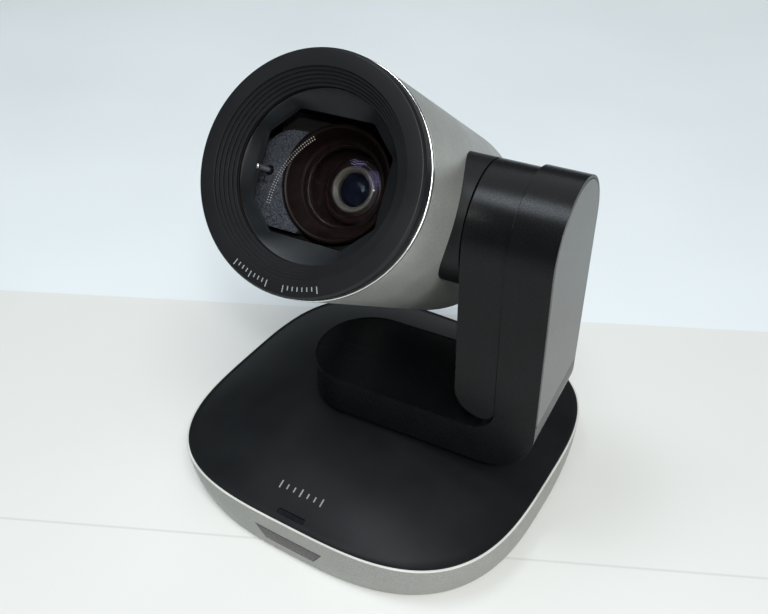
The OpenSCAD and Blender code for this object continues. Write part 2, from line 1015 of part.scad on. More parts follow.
module guide_rods() {
  color("silver")
    for (p = rod_points)
      rod_y(p[0], p[1], 1, -lens_front + 2.6, 32);
}

module carrier(y) {
  difference() {
    block([-21.5, y, -12.4], [17.6, y + 3.4, 12.4]);
    rod_y(0, 0, group_glass_radius + eps, y - 1, y + 5);
    for (p = rod_points)
      rod_y(p[0], p[1], 1 + fit_gap, y - 1, y + 5);
    rod_y(zoom_screw_x, 0, 1.5 + fit_gap, y - 1, y + 5);
    rod_y(focus_screw_x, 0, 1.2 + fit_gap, y - 1, y + 5);
  }
}

module zoom_carrier() {
  color("black")
    carrier(-14);
}

module zoom_glass() {
  color("lightblue", 0.5)
    biconvex(group_glass_radius, 4, 22, -12.3);
}

module zoom_screw() {
  color("silver")
    rod_y(zoom_screw_x, 0, 1.5, -lens_front + 6.2, 36);
}

module zoom_motor() {
  color("gray")
    difference() {
      rod_y(zoom_screw_x, 0, 4.5, 34, 42);
      rod_y(zoom_screw_x, 0, 1.5 + fit_gap, 33, 40);
    }
}

module focus_carrier() {
  color("black")
    carrier(12);
}

module focus_glass() {
  color("lightblue", 0.5)
    biconvex(group_glass_radius, 3.6, 26, 13.7);
}

module focus_screw() {
  color("silver")
    rod_y(focus_screw_x, 0, 1.2, -lens_front + 6.2, 36);
}

module focus_motor() {
  color("gray")
    difference() {
      rod_y(focus_screw_x, 0, 3.4, 34, 42);
      rod_y(focus_screw_x, 0, 1.2 + fit_gap, 33, 40);
    }
}

module sensor_board() {
  color("green")
    difference() {
      block([-25, 32.1, -15], [20, 33.7, 15]);
      rod_y(zoom_screw_x, 0, 2, 31, 35);
      rod_y(focus_screw_x, 0, 1.7, 31, 35);
    }
}

module image_sensor() {
  color("darkslategray")
    block([-4.5, 30.6, -3.5], [4.5, 32.1, 3.5]);
}

module video_board() {
  color("green")
    rod_y(0, 0, 27, 44.2, 45.8);
}

module heat_sink() {
  color("silver") {
    block([-14, 45.9, -14], [14, 47.4, 14]);
    for (i = [-3 : 3])
      block([4 * i - 0.6, 47.3, -14], [4 * i + 0.6, 54, 14]);
  }
}

module tilt_shaft() {
  color("silver")
    difference() {
      union() {
        rod_x(0, 0, shaft_radius, 31, 47);
        rod_x(0, 0, 12, 31, hub_face_x - 2.1);
      }
      rod_x(0, 0, 4, 30, 48);
    }
}

module tilt_gear() {
  color("white")
    difference() {
      translate([43.6, 0, 0])
        along_x()
          rotate([0, 0, rest_tilt])
            linear_extrude(3)
              gear_outline(gear_teeth, tilt_module);
      rod_x(0, 0, shaft_radius + eps, 43, 48);
    }
}

bottom_tray();
top_shell();
rubber_feet();
tripod_insert();
ballast_plate();
base_screws();
main_board();
board_chips();
port_panel();
power_jack();
usb_port();
control_socket();
lock_slot();
led_window();
ir_window();
ir_receiver();
bearing_plate();
at_pan() pan_bearing();
at_pan() pan_motor();
at_pan() pan_pinion();
at_yoke() yoke_frame();
at_yoke() deck_front();
at_yoke() deck_rear();
at_yoke() inner_housing();
at_yoke() side_cover();
at_yoke() pan_spindle();
at_pan() pan_gear();
at_yoke() spindle_screws();
at_yoke() tilt_bearing();
at_yoke() tilt_bracket();
at_yoke() tilt_motor();
at_yoke() tilt_pinion();
at_yoke() ribbon_cable();
at_lens() barrel_shell();
at_lens() rear_cap();
at_head() side_hub();
at_lens() trim_ring();
at_lens() front_bezel();
at_lens() lens_hood();
at_lens() lens_housing();
at_lens() front_ring();
at_lens() front_element();
at_lens() guide_rods();
at_lens() zoom_carrier();
at_lens() zoom_glass();
at_lens() zoom_screw();
at_lens() zoom_motor();
at_lens() focus_carrier();
at_lens() focus_glass();
at_lens() focus_screw();
at_lens() focus_motor();
at_lens() sensor_board();
at_lens() image_sensor();
at_lens() video_board();
at_lens() heat_sink();
at_head() tilt_shaft();
at_head() tilt_gear();
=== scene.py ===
# Conference pan-tilt-zoom camera: the finished look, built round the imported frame.
# Local drawings are in millimetres. A placement matrix (BASE, YOKE, HEAD or LENS) takes them into the
# frame, which is in metres: X to the right, -Y to the front, Z up.
import json
import math

import bmesh
import bpy
from mathutils import Matrix, Vector


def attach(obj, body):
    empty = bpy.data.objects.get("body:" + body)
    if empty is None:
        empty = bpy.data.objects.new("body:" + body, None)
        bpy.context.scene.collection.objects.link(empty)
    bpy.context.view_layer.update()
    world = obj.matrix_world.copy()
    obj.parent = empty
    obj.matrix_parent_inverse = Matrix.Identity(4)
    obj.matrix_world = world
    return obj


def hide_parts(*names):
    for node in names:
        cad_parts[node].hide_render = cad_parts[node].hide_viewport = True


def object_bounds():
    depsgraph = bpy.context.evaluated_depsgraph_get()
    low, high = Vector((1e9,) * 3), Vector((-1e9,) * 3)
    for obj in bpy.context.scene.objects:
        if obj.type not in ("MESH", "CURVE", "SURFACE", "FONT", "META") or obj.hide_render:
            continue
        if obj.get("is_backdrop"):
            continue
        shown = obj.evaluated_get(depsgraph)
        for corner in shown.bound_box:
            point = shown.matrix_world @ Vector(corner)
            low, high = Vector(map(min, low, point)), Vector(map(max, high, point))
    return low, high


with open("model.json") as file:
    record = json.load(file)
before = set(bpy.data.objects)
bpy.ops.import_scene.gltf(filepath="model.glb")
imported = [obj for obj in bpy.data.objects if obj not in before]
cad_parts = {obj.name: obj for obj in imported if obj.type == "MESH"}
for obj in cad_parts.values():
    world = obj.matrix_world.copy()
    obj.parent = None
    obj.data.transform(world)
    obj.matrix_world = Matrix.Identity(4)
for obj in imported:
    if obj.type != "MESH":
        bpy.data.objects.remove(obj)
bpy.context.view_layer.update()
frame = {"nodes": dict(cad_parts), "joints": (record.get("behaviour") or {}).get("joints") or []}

# ---- placement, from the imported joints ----

MM = 0.001
joints = {j["name"]: j for j in frame["joints"]}
tilt_axis = Vector(joints["tilt"]["axis"])
pan = math.atan2(-tilt_axis.y, -tilt_axis.x)
tilt = math.asin(joints["zoom_slide"]["axis"][2])
tilt_height = joints["tilt"]["pos_m"][2] / MM
pan_forward = -joints["pan"]["pos_m"][1] / MM

BASE = Matrix.Scale(MM, 4)
YOKE = BASE @ Matrix.Translation((0, -pan_forward, 0)) @ Matrix.Rotation(pan, 4, "Z")
HEAD = YOKE @ Matrix.Translation((0, 0, tilt_height)) @ Matrix.Rotation(-tilt, 4, "X")


def span(node, place):
    """Lowest and highest corner of a CAD node in a local drawing's millimetres."""
    inverse = place.inverted()
    points = [inverse @ v.co for v in frame["nodes"][node].data.vertices]
    low = Vector([min(p[i] for p in points) for i in range(3)])
    high = Vector([max(p[i] for p in points) for i in range(3)])
    return low, high


cap_low, cap_high = span("rear_cap", HEAD)
lens_drop = -(cap_low.z + cap_high.z) / 2
LENS = HEAD @ Matrix.Translation((0, 0, -lens_drop))

# ---- sizes read from the frame, in millimetres ----

tray_low, tray_high = span("bottom_tray", BASE)
base_hx = tray_high.x
base_hy = -tray_low.y
foot_gap = tray_low.z
rim_z = tray_high.z
dome_z = span("top_shell", BASE)[1].z
arm_x = span("yoke_frame", YOKE)[1].x
housing_low, housing_high = span("inner_housing", YOKE)
cover_x = span("side_cover", YOKE)[1].x
hub_high = span("side_hub", HEAD)[1]
barrel_low, barrel_high = span("barrel_shell", LENS)
bezel_low, bezel_high = span("front_bezel", LENS)
hood_low, hood_high = span("lens_hood", LENS)
block_low, block_high = span("lens_housing", LENS)
ring_high = span("front_ring", LENS)[1]
glass_low, glass_high = span("front_element", LENS)
cap_low, cap_high = span("rear_cap", LENS)

# ---- sizes of the look itself, in millimetres ----

CORNER_POWER = 3.3          # squareness of the base's plan at the rim
LOW_CORNER_POWER = 2.85     # and at the table
CORNER_EASE = 1.5
BAND_LEAN = 0.024           # share by which the silver band has drawn in at the table
BAND_LEAN_POWER = 2.6
BAND_TURN_IN = 0.5
BAND_WALL = 1.8
LEDGE = 0.55                # width of the band's rim left clear by the black cover
SHELL_PROUD = 0.05
SHELL_WALL = 2.2
NECK_RADIUS = 12.5
FOOT_END_X = -4.0
FOOT_HALF = 19.3
DECK_TOP = 49.5
YOKE_BOTTOM = 35.9
STRAIGHT_TOP = 57.5
COVER_BOTTOM = 54.9
COVER_HALF = 19.7
ARM_SEAM_X = 50.2
ARM_ROUND = 20.4
OUTER_CORNER = 18.0
INNER_CORNER = 9.0
HUB_RADIUS = hub_high.y
HUB_INNER_X = 20
BARREL_RADIUS = barrel_high.x
BARREL_WALL = 2
OPENING_RADIUS = 24.0
BACK_ROUND = 13.0
STEP_COUNT = 5
RING_RADIUS = ring_high.x
GLASS_RADIUS = glass_high.x
BARREL_STEPS = 256          # facets round the barrel and the rings on it


# ---- outlines ----

def rounded(corners, steps=10):
    """Closed outline from (u, v, radius) corners, each turned into an arc of its radius."""
    outline = []
    count = len(corners)
    for i, (u, v, radius) in enumerate(corners):
        here = Vector((u, v))
        if radius <= 0:
            outline.append(here)
            continue
        before = (Vector(corners[i - 1][:2]) - here).normalized()
        after = (Vector(corners[(i + 1) % count][:2]) - here).normalized()
        half = math.acos(max(-1, min(1, before.dot(after)))) / 2
        centre = here + (before + after).normalized() * (radius / math.sin(half))
        start = here + before * (radius / math.tan(half)) - centre
        end = here + after * (radius / math.tan(half)) - centre
        turn = math.atan2(start.x * end.y - start.y * end.x, start.dot(end))
        for k in range(steps + 1):
            angle = turn * k / steps
            c, s = math.cos(angle), math.sin(angle)
            outline.append(centre + Vector((start.x * c - start.y * s, start.x * s + start.y * c)))
    return outline


def rectangle(low_x, low_y, high_x, high_y, radius=0, steps=10):
    """Outline of a rectangle with rounded corners."""
    return rounded([(low_x, low_y, radius), (high_x, low_y, radius), (high_x, high_y, radius),
                    (low_x, high_y, radius)], steps)


def arc(centre, radius, start, end, steps):
    """Points on an arc, angles in degrees."""
    points = []
    for k in range(steps + 1):
        a = math.radians(start + (end - start) * k / steps)
        points.append(Vector((centre[0] + radius * math.cos(a), centre[1] + radius * math.sin(a))))
    return points


def squircle(hx, hy, power, count):
    """Points round a superellipse."""
    points = []
    for k in range(count):
        a = 2 * math.pi * k / count
        c, s = math.cos(a), math.sin(a)
        x = math.copysign(abs(c) ** (2 / power), c) * hx
        y = math.copysign(abs(s) ** (2 / power), s) * hy
        points.append((x, y))
    return points


# ---- meshes ----

def in_scene(name, data):
    """New object that holds the data, linked to the scene."""
    made = bpy.data.objects.new(name, data)
    bpy.context.scene.collection.objects.link(made)
    return made


def new_object(name, bm, place):
    """Object holding the bmesh, moved from a local drawing into the frame."""
    bmesh.ops.remove_doubles(bm, verts=bm.verts, dist=1e-5)
    bmesh.ops.recalc_face_normals(bm, faces=bm.faces)
    mesh = bpy.data.meshes.new(name)
    bm.to_mesh(mesh)
    bm.free()
    mesh.transform(place)
    return in_scene(name, mesh)


def smooth(piece, angle=32):
    """Smooth shading, with edges sharper than the angle kept."""
    piece.data.shade_smooth()
    piece.data.set_sharp_from_angle(angle=math.radians(angle))


def loft(name, rings, place, closed=False):
    """Skin over rings of equally many 3D points. A closed loft joins the last ring to the first, and any
    other is capped."""
    bm = bmesh.new()
    rows = [[bm.verts.new(p) for p in ring] for ring in rings]
    pairs = list(zip(rows, rows[1:]))
    if closed:
        pairs.append((rows[-1], rows[0]))
    for lower, upper in pairs:
        for k in range(len(lower)):
            j = (k + 1) % len(lower)
            bm.faces.new((lower[k], lower[j], upper[j], upper[k]))
    if not closed:
        bm.faces.new(reversed(rows[0]))
        bm.faces.new(rows[-1])
    made = new_object(name, bm, place)
    smooth(made)
    return made


def turned(name, profile, place, steps=192, wave=None):
    """Closed (radius, along) profile turned about the local Y axis. wave(index, angle) moves a radius."""
    bm = bmesh.new()
    rows = []
    for k in range(steps):
        a = 2 * math.pi * k / steps
        row = []
        for i, (radius, along) in enumerate(profile):
            r = radius + (wave(i, a) if wave else 0)
            row.append(bm.verts.new((r * math.cos(a), along, r * math.sin(a))))
        rows.append(row)
    for k in range(steps):
        one, two = rows[k], rows[(k + 1) % steps]
        for i in range(len(profile)):
            j = (i + 1) % len(profile)
            if profile[i][0] < 1e-6 and profile[j][0] < 1e-6:
                continue
            bm.faces.new((one[i], one[j], two[j], two[i]))
    made = new_object(name, bm, place)
    smooth(made)
    return made


def slab(name, outline, low, high, along, place):
    """Outline swept along one local axis. The outline's two numbers are the other two axes in order."""
    def point(p, t):
        if along == "X":
            return (t, p[0], p[1])
        if along == "Y":
            return (p[0], t, p[1])
        return (p[0], p[1], t)

    bm = bmesh.new()
    first = [bm.verts.new(point(p, low)) for p in outline]
    last = [bm.verts.new(point(p, high)) for p in outline]
    bm.faces.new(first)
    bm.faces.new(reversed(last))
    for k in range(len(outline)):
        j = (k + 1) % len(outline)
        bm.faces.new((first[k], last[k], last[j], first[j]))
    return new_object(name, bm, place)


def cut(target, tool, how="DIFFERENCE"):
    """Boolean of target with tool, applied to target. The tool is used up."""
    modifier = target.modifiers.new("cut", "BOOLEAN")
    modifier.operation = how
    modifier.solver = "EXACT"
    modifier.object = tool
    graph = bpy.context.evaluated_depsgraph_get()
    mesh = bpy.data.meshes.new_from_object(target.evaluated_get(graph))
    target.modifiers.clear()
    target.data = mesh
    bpy.data.objects.remove(tool)


def soften(piece, width, segments=3, angle=30):
    """Rounds the piece's sharp edges by a width in millimetres, and returns the piece."""
    modifier = piece.modifiers.new("round", "BEVEL")
    modifier.width = width * MM
    modifier.segments = segments
    modifier.limit_method = "ANGLE"
    modifier.angle_limit = math.radians(angle)
    modifier.harden_normals = True
    modifier.miter_outer = "MITER_ARC"
    smooth(piece, angle)
    return piece


def dress(piece, body, slot, *nodes, finish=None):
    """Gives a piece its body and its slot's material, and hides the CAD nodes it stands for. A finish is the
    name of a material other than the slot's."""
    piece.data.materials.clear()
    piece.data.materials.append(MATERIALS[finish or slot])
    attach(piece, body)
    if nodes:
        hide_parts(*nodes)


# ---- materials ----

def grain_size(mm):
    """Noise scale whose features are about this many millimetres across."""
    return 1 / (mm * MM)


class Recipe:
    """Short way to write a node material on object coordinates."""

    def __init__(self, name):
        self.material = bpy.data.materials.new(name)
        self.material.use_nodes = True
        self.tree = self.material.node_tree
        self.shader = self.tree.nodes["Principled BSDF"]
        self.place = self.tree.nodes.new("ShaderNodeTexCoord").outputs["Object"]

    def node(self, kind, **settings):
        made = self.tree.nodes.new(kind)
        for key, value in settings.items():
            setattr(made, key, value)
        return made

    def noise(self, mm, detail=2.0, rough=0.5, place=None):
        made = self.node("ShaderNodeTexNoise")
        made.inputs["Scale"].default_value = grain_size(mm)
        made.inputs["Detail"].default_value = detail
        made.inputs["Roughness"].default_value = rough
        self.tree.links.new(place or self.place, made.inputs["Vector"])
        return made.outputs["Fac"]

    def cells(self, mm, place=None):
        made = self.node("ShaderNodeTexVoronoi")
        made.inputs["Scale"].default_value = grain_size(mm)
        self.tree.links.new(place or self.place, made.inputs["Vector"])
        return made

    def stretched(self, x, y, z):
        """Object coordinates scaled per axis, for brushed and turned finishes."""
        made = self.node("ShaderNodeMapping")
        made.inputs["Scale"].default_value = (x, y, z)
        self.tree.links.new(self.place, made.inputs["Vector"])
        return made.outputs["Vector"]

    def ramp(self, fac, low, high, start=0.0, end=1.0):
        """Blend between two colours or two numbers as fac goes from start to end."""
        made = self.node("ShaderNodeValToRGB")
        made.color_ramp.elements[0].position = start
        made.color_ramp.elements[1].position = end
        for element, value in zip(made.color_ramp.elements, (low, high)):
            element.color = (*value, 1) if isinstance(value, tuple) else (value, value, value, 1)
        self.tree.links.new(fac, made.inputs["Fac"])
        return made.outputs["Color"]

    def link(self, output, socket):
        self.tree.links.new(output, self.shader.inputs[socket])

    def set(self, **values):
        for key, value in values.items():
            socket = self.shader.inputs[key.replace("_", " ")]
            socket.default_value = (*value, 1) if isinstance(value, tuple) and len(value) == 3 else value

    def bump(self, height, depth_mm, strength=1.0, under=None):
        """Adds relief of that depth to the shader's normal."""
        made = self.node("ShaderNodeBump")
        made.inputs["Strength"].default_value = strength
        made.inputs["Distance"].default_value = depth_mm * MM
        self.tree.links.new(height, made.inputs["Height"])
        if under:
            self.tree.links.new(under, made.inputs["Normal"])
        self.link(made.outputs["Normal"], "Normal")
        return made.outputs["Normal"]


MOTTLE = 14.0       # width in millimetres of a plastic's slow drift in tone


def moulded(name, dark, light, rough, grain=0.35, relief=0.02, specular=0.3):
    """Moulded plastic: slow colour drift, fine spark-eroded grain, and roughness that varies a little."""
    r = Recipe(name)
    drift = r.noise(MOTTLE, 3)
    r.link(r.ramp(drift, dark, light, 0.3, 0.7), "Base Color")
    fine = r.noise(grain, 2, 0.6)
    r.link(r.ramp(fine, rough - 0.05, rough + 0.07, 0.3, 0.7), "Roughness")
    under = r.bump(r.noise(MOTTLE * 0.6, 2), 0.03, 0.25)
    r.bump(fine, relief, 1.0, under)
    r.set(Specular_IOR_Level=specular)
    return r.material


def flake_paint(name, dark, light, rough, metallic, flake=0.22, relief=0.006):
    """Metallic paint: tiny flakes that differ in tone, with a soft mottle under them."""
    r = Recipe(name)
    flakes = r.cells(flake)
    r.link(r.ramp(flakes.outputs["Color"], dark, light, 0.15, 0.85), "Base Color")
    r.link(r.ramp(r.noise(9, 2), rough - 0.04, rough + 0.05, 0.3, 0.7), "Roughness")
    r.bump(r.noise(flake * 1.6, 2), relief, 0.8)
    r.set(Metallic=metallic)
    return r.material


def machined(name, dark, light, rough, stretch=(1, 1, 14), relief=0.004):
    """Bare metal with fine lines left by the tool."""
    r = Recipe(name)
    lines = r.noise(1.2, 4, 0.65, r.stretched(*stretch))
    r.link(r.ramp(lines, dark, light, 0.3, 0.7), "Base Color")
    r.link(r.ramp(lines, rough - 0.06, rough + 0.1, 0.3, 0.7), "Roughness")
    r.bump(lines, relief, 0.7)
    r.set(Metallic=1.0)
    return r.material


def circuit_board(name):
    """Green solder resist with copper tracks showing through as paler lines."""
    r = Recipe(name)
    grid = r.node("ShaderNodeTexBrick")
    grid.inputs["Scale"].default_value = 1 / (6 * MM)
    grid.inputs["Mortar Size"].default_value = 0.012
    grid.inputs["Color1"].default_value = (0.01, 0.075, 0.03, 1)
    grid.inputs["Color2"].default_value = (0.012, 0.09, 0.036, 1)
    grid.inputs["Mortar"].default_value = (0.03, 0.17, 0.07, 1)
    r.tree.links.new(r.place, grid.inputs["Vector"])
    r.link(grid.outputs["Color"], "Base Color")
    r.link(r.ramp(r.noise(2, 2), 0.28, 0.4), "Roughness")
    r.bump(grid.outputs["Fac"], 0.03, 0.5)
    return r.material


def lens_glass(name, tint):
    """Coated optical glass. Rays from lamps pass, so that the barrel behind is lit."""
    r = Recipe(name)
    r.set(Base_Color=tint, Roughness=0.0, Transmission_Weight=1.0, IOR=1.52)
    r.set(Specular_Tint=(0.05, 0.045, 0.1))
    clear = r.node("ShaderNodeBsdfTransparent")
    clear.inputs["Color"].default_value = (*tint, 1)
    path = r.node("ShaderNodeLightPath")
    mix = r.node("ShaderNodeMixShader")
    r.tree.links.new(path.outputs["Is Shadow Ray"], mix.inputs["Fac"])
    r.tree.links.new(r.shader.outputs["BSDF"], mix.inputs[1])
    r.tree.links.new(clear.outputs["BSDF"], mix.inputs[2])
    r.tree.links.new(mix.outputs["Shader"], r.tree.nodes["Material Output"].inputs["Surface"])
    haze = r.noise(5, 2)
    r.bump(haze, 0.0005, 0.1)
    return r.material


def deep_glass(name):
    """Small inner element seen against the dark of the lens: its curved face mirrors only a little."""
    r = Recipe(name)
    r.link(r.ramp(r.noise(2.5, 2), (0.0015, 0.002, 0.004), (0.003, 0.0035, 0.007)), "Base Color")
    r.set(Roughness=0.02, Specular_IOR_Level=0.1, Specular_Tint=(0.8, 0.9, 1.0))
    r.bump(r.noise(5, 2), 0.0005, 0.1)
    return r.material


def sparkling(name, dark, light, rough):
    """Coarse spark-eroded black plastic whose facets glint. Facets differ in tone at random, and their
    lighter tones are painted glints.
    """
    r = Recipe(name)
    facets = r.cells(0.32)
    r.link(r.ramp(facets.outputs["Color"], dark, light, 0.2, 0.9), "Base Color")
    r.link(r.ramp(r.noise(0.5, 2), rough - 0.12, rough + 0.1, 0.35, 0.65), "Roughness")
    coarse = r.bump(r.noise(0.55, 3, 0.7), 0.16, 1.0)
    r.bump(facets.outputs["Distance"], 0.05, 0.7, coarse)
    r.set(Specular_IOR_Level=0.45)
    return r.material


def baffle_paint(name, dark, light):
    """Flocked black of the lens tunnel, with a warm cast where light gets in."""
    r = Recipe(name)
    r.link(r.ramp(r.noise(3, 3), dark, light, 0.3, 0.75), "Base Color")
    r.link(r.ramp(r.noise(0.4, 2), 0.34, 0.46), "Roughness")
    r.bump(r.noise(0.25, 2), 0.01, 0.6)
    r.set(Specular_IOR_Level=0.12)
    return r.material


# Each finish names its recipe and the recipe's values. Most begin with a dark tone, a light tone and a
# roughness. A moulded finish goes on with its grain's width and relief in millimetres, and then its
# specular level.
FINISHES = {
    "tray_silver": (flake_paint, (0.235, 0.24, 0.228), (0.345, 0.35, 0.33), 0.42, 0.5),
    # the band's top ledge is painted a lighter silver as a painted highlight
    "edge_silver_painted_highlight": (moulded, (0.5, 0.51, 0.49), (0.62, 0.63, 0.6), 0.35, 0.3, 0.004),
    "shell_black": (moulded, (0.005, 0.006, 0.007), (0.008, 0.0092, 0.0102), 0.43, 0.3, 0.016, 0.18),
    "rubber": (moulded, (0.018, 0.018, 0.018), (0.03, 0.03, 0.029), 0.72, 0.5, 0.03),
    "brass": (machined, (0.6, 0.44, 0.2), (0.8, 0.62, 0.32), 0.26),
    "steel": (machined, (0.42, 0.43, 0.45), (0.66, 0.67, 0.69), 0.26, (1, 14, 1)),
    "screw_steel": (machined, (0.3, 0.31, 0.33), (0.56, 0.57, 0.59), 0.3),
    "board_green": (circuit_board,),
    "chip_black": (moulded, (0.014, 0.014, 0.015), (0.026, 0.026, 0.027), 0.5, 0.2, 0.01),
    "panel_black": (moulded, (0.012, 0.013, 0.014), (0.02, 0.021, 0.022), 0.46, 0.4, 0.02),
    "socket_black": (moulded, (0.008, 0.008, 0.009), (0.014, 0.014, 0.015), 0.3, 0.6, 0.01),
    "socket_metal": (machined, (0.55, 0.55, 0.53), (0.78, 0.78, 0.75), 0.22, (1, 10, 1)),
    "smoke_window": (moulded, (0.006, 0.007, 0.009), (0.01, 0.011, 0.014), 0.14, 1.5, 0.004),
    "ir_gray": (moulded, (0.045, 0.043, 0.042), (0.065, 0.062, 0.06), 0.24, 1.2, 0.006),
    "motor_metal": (machined, (0.34, 0.35, 0.36), (0.54, 0.55, 0.56), 0.34),
    "yoke_black": (moulded, (0.0025, 0.0029, 0.0034), (0.0042, 0.0047, 0.0054), 0.27, 0.28, 0.007, 0.18),
    "deck_black": (moulded, (0.0014, 0.0018, 0.0022), (0.0026, 0.003, 0.0036), 0.3, 0.3, 0.008, 0.16),
    # the side cover is black; the grey of cover_gray is painted reflection of the bright table seen at a
    # grazing angle
    "cover_gray": (moulded, (0.110, 0.114, 0.111), (0.122, 0.126, 0.123), 0.34, 0.3, 0.008),
    "gear_white": (moulded, (0.66, 0.65, 0.6), (0.76, 0.75, 0.7), 0.42, 0.8, 0.02),
    "ribbon": (moulded, (0.09, 0.045, 0.02), (0.14, 0.07, 0.03), 0.35, 0.6, 0.01),
    "barrel_silver": (flake_paint, (0.36, 0.37, 0.35), (0.50, 0.51, 0.48), 0.38, 0.6),
    "hub_dark": (moulded, (0.0035, 0.004, 0.0046), (0.0056, 0.0064, 0.007), 0.42, 0.3, 0.012, 0.2),
    "trim_bright": (machined, (0.62, 0.62, 0.6), (0.82, 0.82, 0.8), 0.2, (1, 12, 1)),
    "bezel_black": (moulded, (0.005, 0.0057, 0.0068), (0.008, 0.009, 0.0104), 0.46, 0.26, 0.01, 0.24),
    "hood_black": (moulded, (0.0068, 0.0082, 0.0095), (0.0115, 0.0134, 0.0153), 0.42, 0.5, 0.02, 0.28),
    "lens_body": (sparkling, (0.008, 0.0095, 0.0125), (0.05, 0.057, 0.072), 0.4),
    "lens_ring": (baffle_paint, (0.0022, 0.001, 0.0009), (0.006, 0.0022, 0.002)),
    "lens_glass": (lens_glass, (0.93, 0.96, 0.97)),
    "sensor": (moulded, (0.02, 0.018, 0.03), (0.05, 0.03, 0.07), 0.12, 0.8, 0.002),
    "aluminium": (machined, (0.6, 0.61, 0.62), (0.78, 0.79, 0.8), 0.32),
    "cell_bronze": (moulded, (0.02, 0.0175, 0.014), (0.032, 0.028, 0.023), 0.4, 0.4, 0.008, 0.3),
    "print_gray": (moulded, (0.2, 0.215, 0.225), (0.27, 0.285, 0.295), 0.5, 0.3, 0.01),
    "deep_glass": (deep_glass,),
    # pale teeth of the rack: painted glints
    "tooth_painted_glint": (moulded, (0.26, 0.255, 0.235), (0.38, 0.375, 0.34), 0.4, 0.3, 0.006),
    # near-black that paints the shade in a gap or a deep recess
    "painted_shade_black": (moulded, (0.003, 0.003, 0.003), (0.005, 0.005, 0.005), 0.8, 0.5, 0.01),
}
MATERIALS = {name: recipe(name, *values) for name, (recipe, *values) in FINISHES.items()}

for cad in frame["nodes"].values():
    slots = cad.data.materials
    for i in range(len(slots)):
        slots[i] = MATERIALS[slots[i].name.split(".")[0]]


# ---- base ----

PLAN_STEPS = 288


def plan_ring(scale, z, inset=0.0, power=CORNER_POWER, ledge=0.0, forward=0.0):
    """Ring of the base's rounded-square plan at a height."""
    hx = (base_hx - ledge) * scale - inset
    hy = (base_hy - ledge) * scale - inset
    return [(x, y - forward, z) for x, y in squircle(hx, hy, power, PLAN_STEPS)]


def below_rim(z):
    """Share of the band's height that a level lies below the rim."""
    return max(0.0, (rim_z - z) / (rim_z - foot_gap))


def tray_scale(z):
    """How far the silver band has drawn in at a height: it leans in ever faster towards the table."""
    return 1 - BAND_LEAN * below_rim(z) ** BAND_LEAN_POWER


def tray_power(z):
    """Squareness of the band's plan at a height."""
    return CORNER_POWER + (LOW_CORNER_POWER - CORNER_POWER) * below_rim(z) ** CORNER_EASE


def dome_ring(s, drop=0.0):
    """Ring of the domed cover: the rings drift forward to the pan axis as they shrink."""
    return plan_ring(s, dome_at(s) + SHELL_PROUD - drop, power=dome_power(s), ledge=LEDGE,
                     forward=pan_forward * (1 - s * s))


def neck_ring(z):
    """Round ring of the neck that the yoke turns on."""
    return [(x * NECK_RADIUS, y * NECK_RADIUS - pan_forward, z) for x, y in squircle(1, 1, 2, PLAN_STEPS)]


def dome_at(s):
    """Height of the dome's ring of share s of the plan."""
    return rim_z + (dome_z - rim_z) * (1 - s * s)


def dome_power(s):
    """Squareness of that ring: round at the neck, and as square as the rim at the edge."""
    return 2 + (CORNER_POWER - 2) * s ** CORNER_EASE


HALVINGS = 40


def dome_scale(x, y):
    """Which ring of the dome passes over (x, y)."""
    low, high = 0.02, 1.2
    for _ in range(HALVINGS):
        s = (low + high) / 2
        power = dome_power(min(s, 1.0))
        y_here = y + pan_forward * (1 - s * s)
        reach = (abs(x) / ((base_hx - LEDGE) * s)) ** power
        reach += (abs(y_here) / ((base_hy - LEDGE) * s)) ** power
        if reach > 1:
            low = s
        else:
            high = s
    return (low + high) / 2


BAND_LEVELS = (foot_gap, foot_gap + 0.35, foot_gap + 0.9, 3.4, 4.4, 5.5, 6.8, 8.2, 9.8, 11.5, 13.3, 15.2, 17,
               17.8)
band = []
for z in BAND_LEVELS:
    inset = BAND_TURN_IN if z == foot_gap else 0.0
    band.append(plan_ring(tray_scale(z), z, inset, tray_power(z)))
band.append(plan_ring(1, rim_z - 0.22))
band.append(plan_ring(1, rim_z - 0.07, 0.07))
band.append(plan_ring(1, rim_z, 0.22))
band.append(plan_ring(1, rim_z, BAND_WALL))
band.append(plan_ring(1, rim_z - 1.2, BAND_WALL + 0.1))
tray = loft("tray_band", band, BASE)
panel_low, panel_high = span("port_panel", BASE)
bay = rectangle(panel_low.x - 0.2, panel_low.y - 0.1, panel_high.x + 0.2, base_hy + 5)
cut(tray, slab("bay", bay, -1, rim_z + 1, "Z", BASE))
smooth(tray, 40)
dress(tray, "base", "tray_silver", "bottom_tray")

# ledge along the band's top, broken by the cable bay; its lighter silver is a painted highlight
edge = loft("tray_edge", [
    plan_ring(1, rim_z - 0.5, 0.3), plan_ring(1, rim_z - 0.3, -0.03), plan_ring(1, rim_z - 0.04, 0.02),
    plan_ring(1, rim_z + 0.03, 0.14), plan_ring(1, rim_z + 0.03, 0.6), plan_ring(1, rim_z - 0.5, 0.6)],
    BASE, closed=True)
cut(edge, slab("bay", bay, -1, rim_z + 1, "Z", BASE))
smooth(edge, 40)
dress(edge, "base", "tray_silver", finish="edge_silver_painted_highlight")

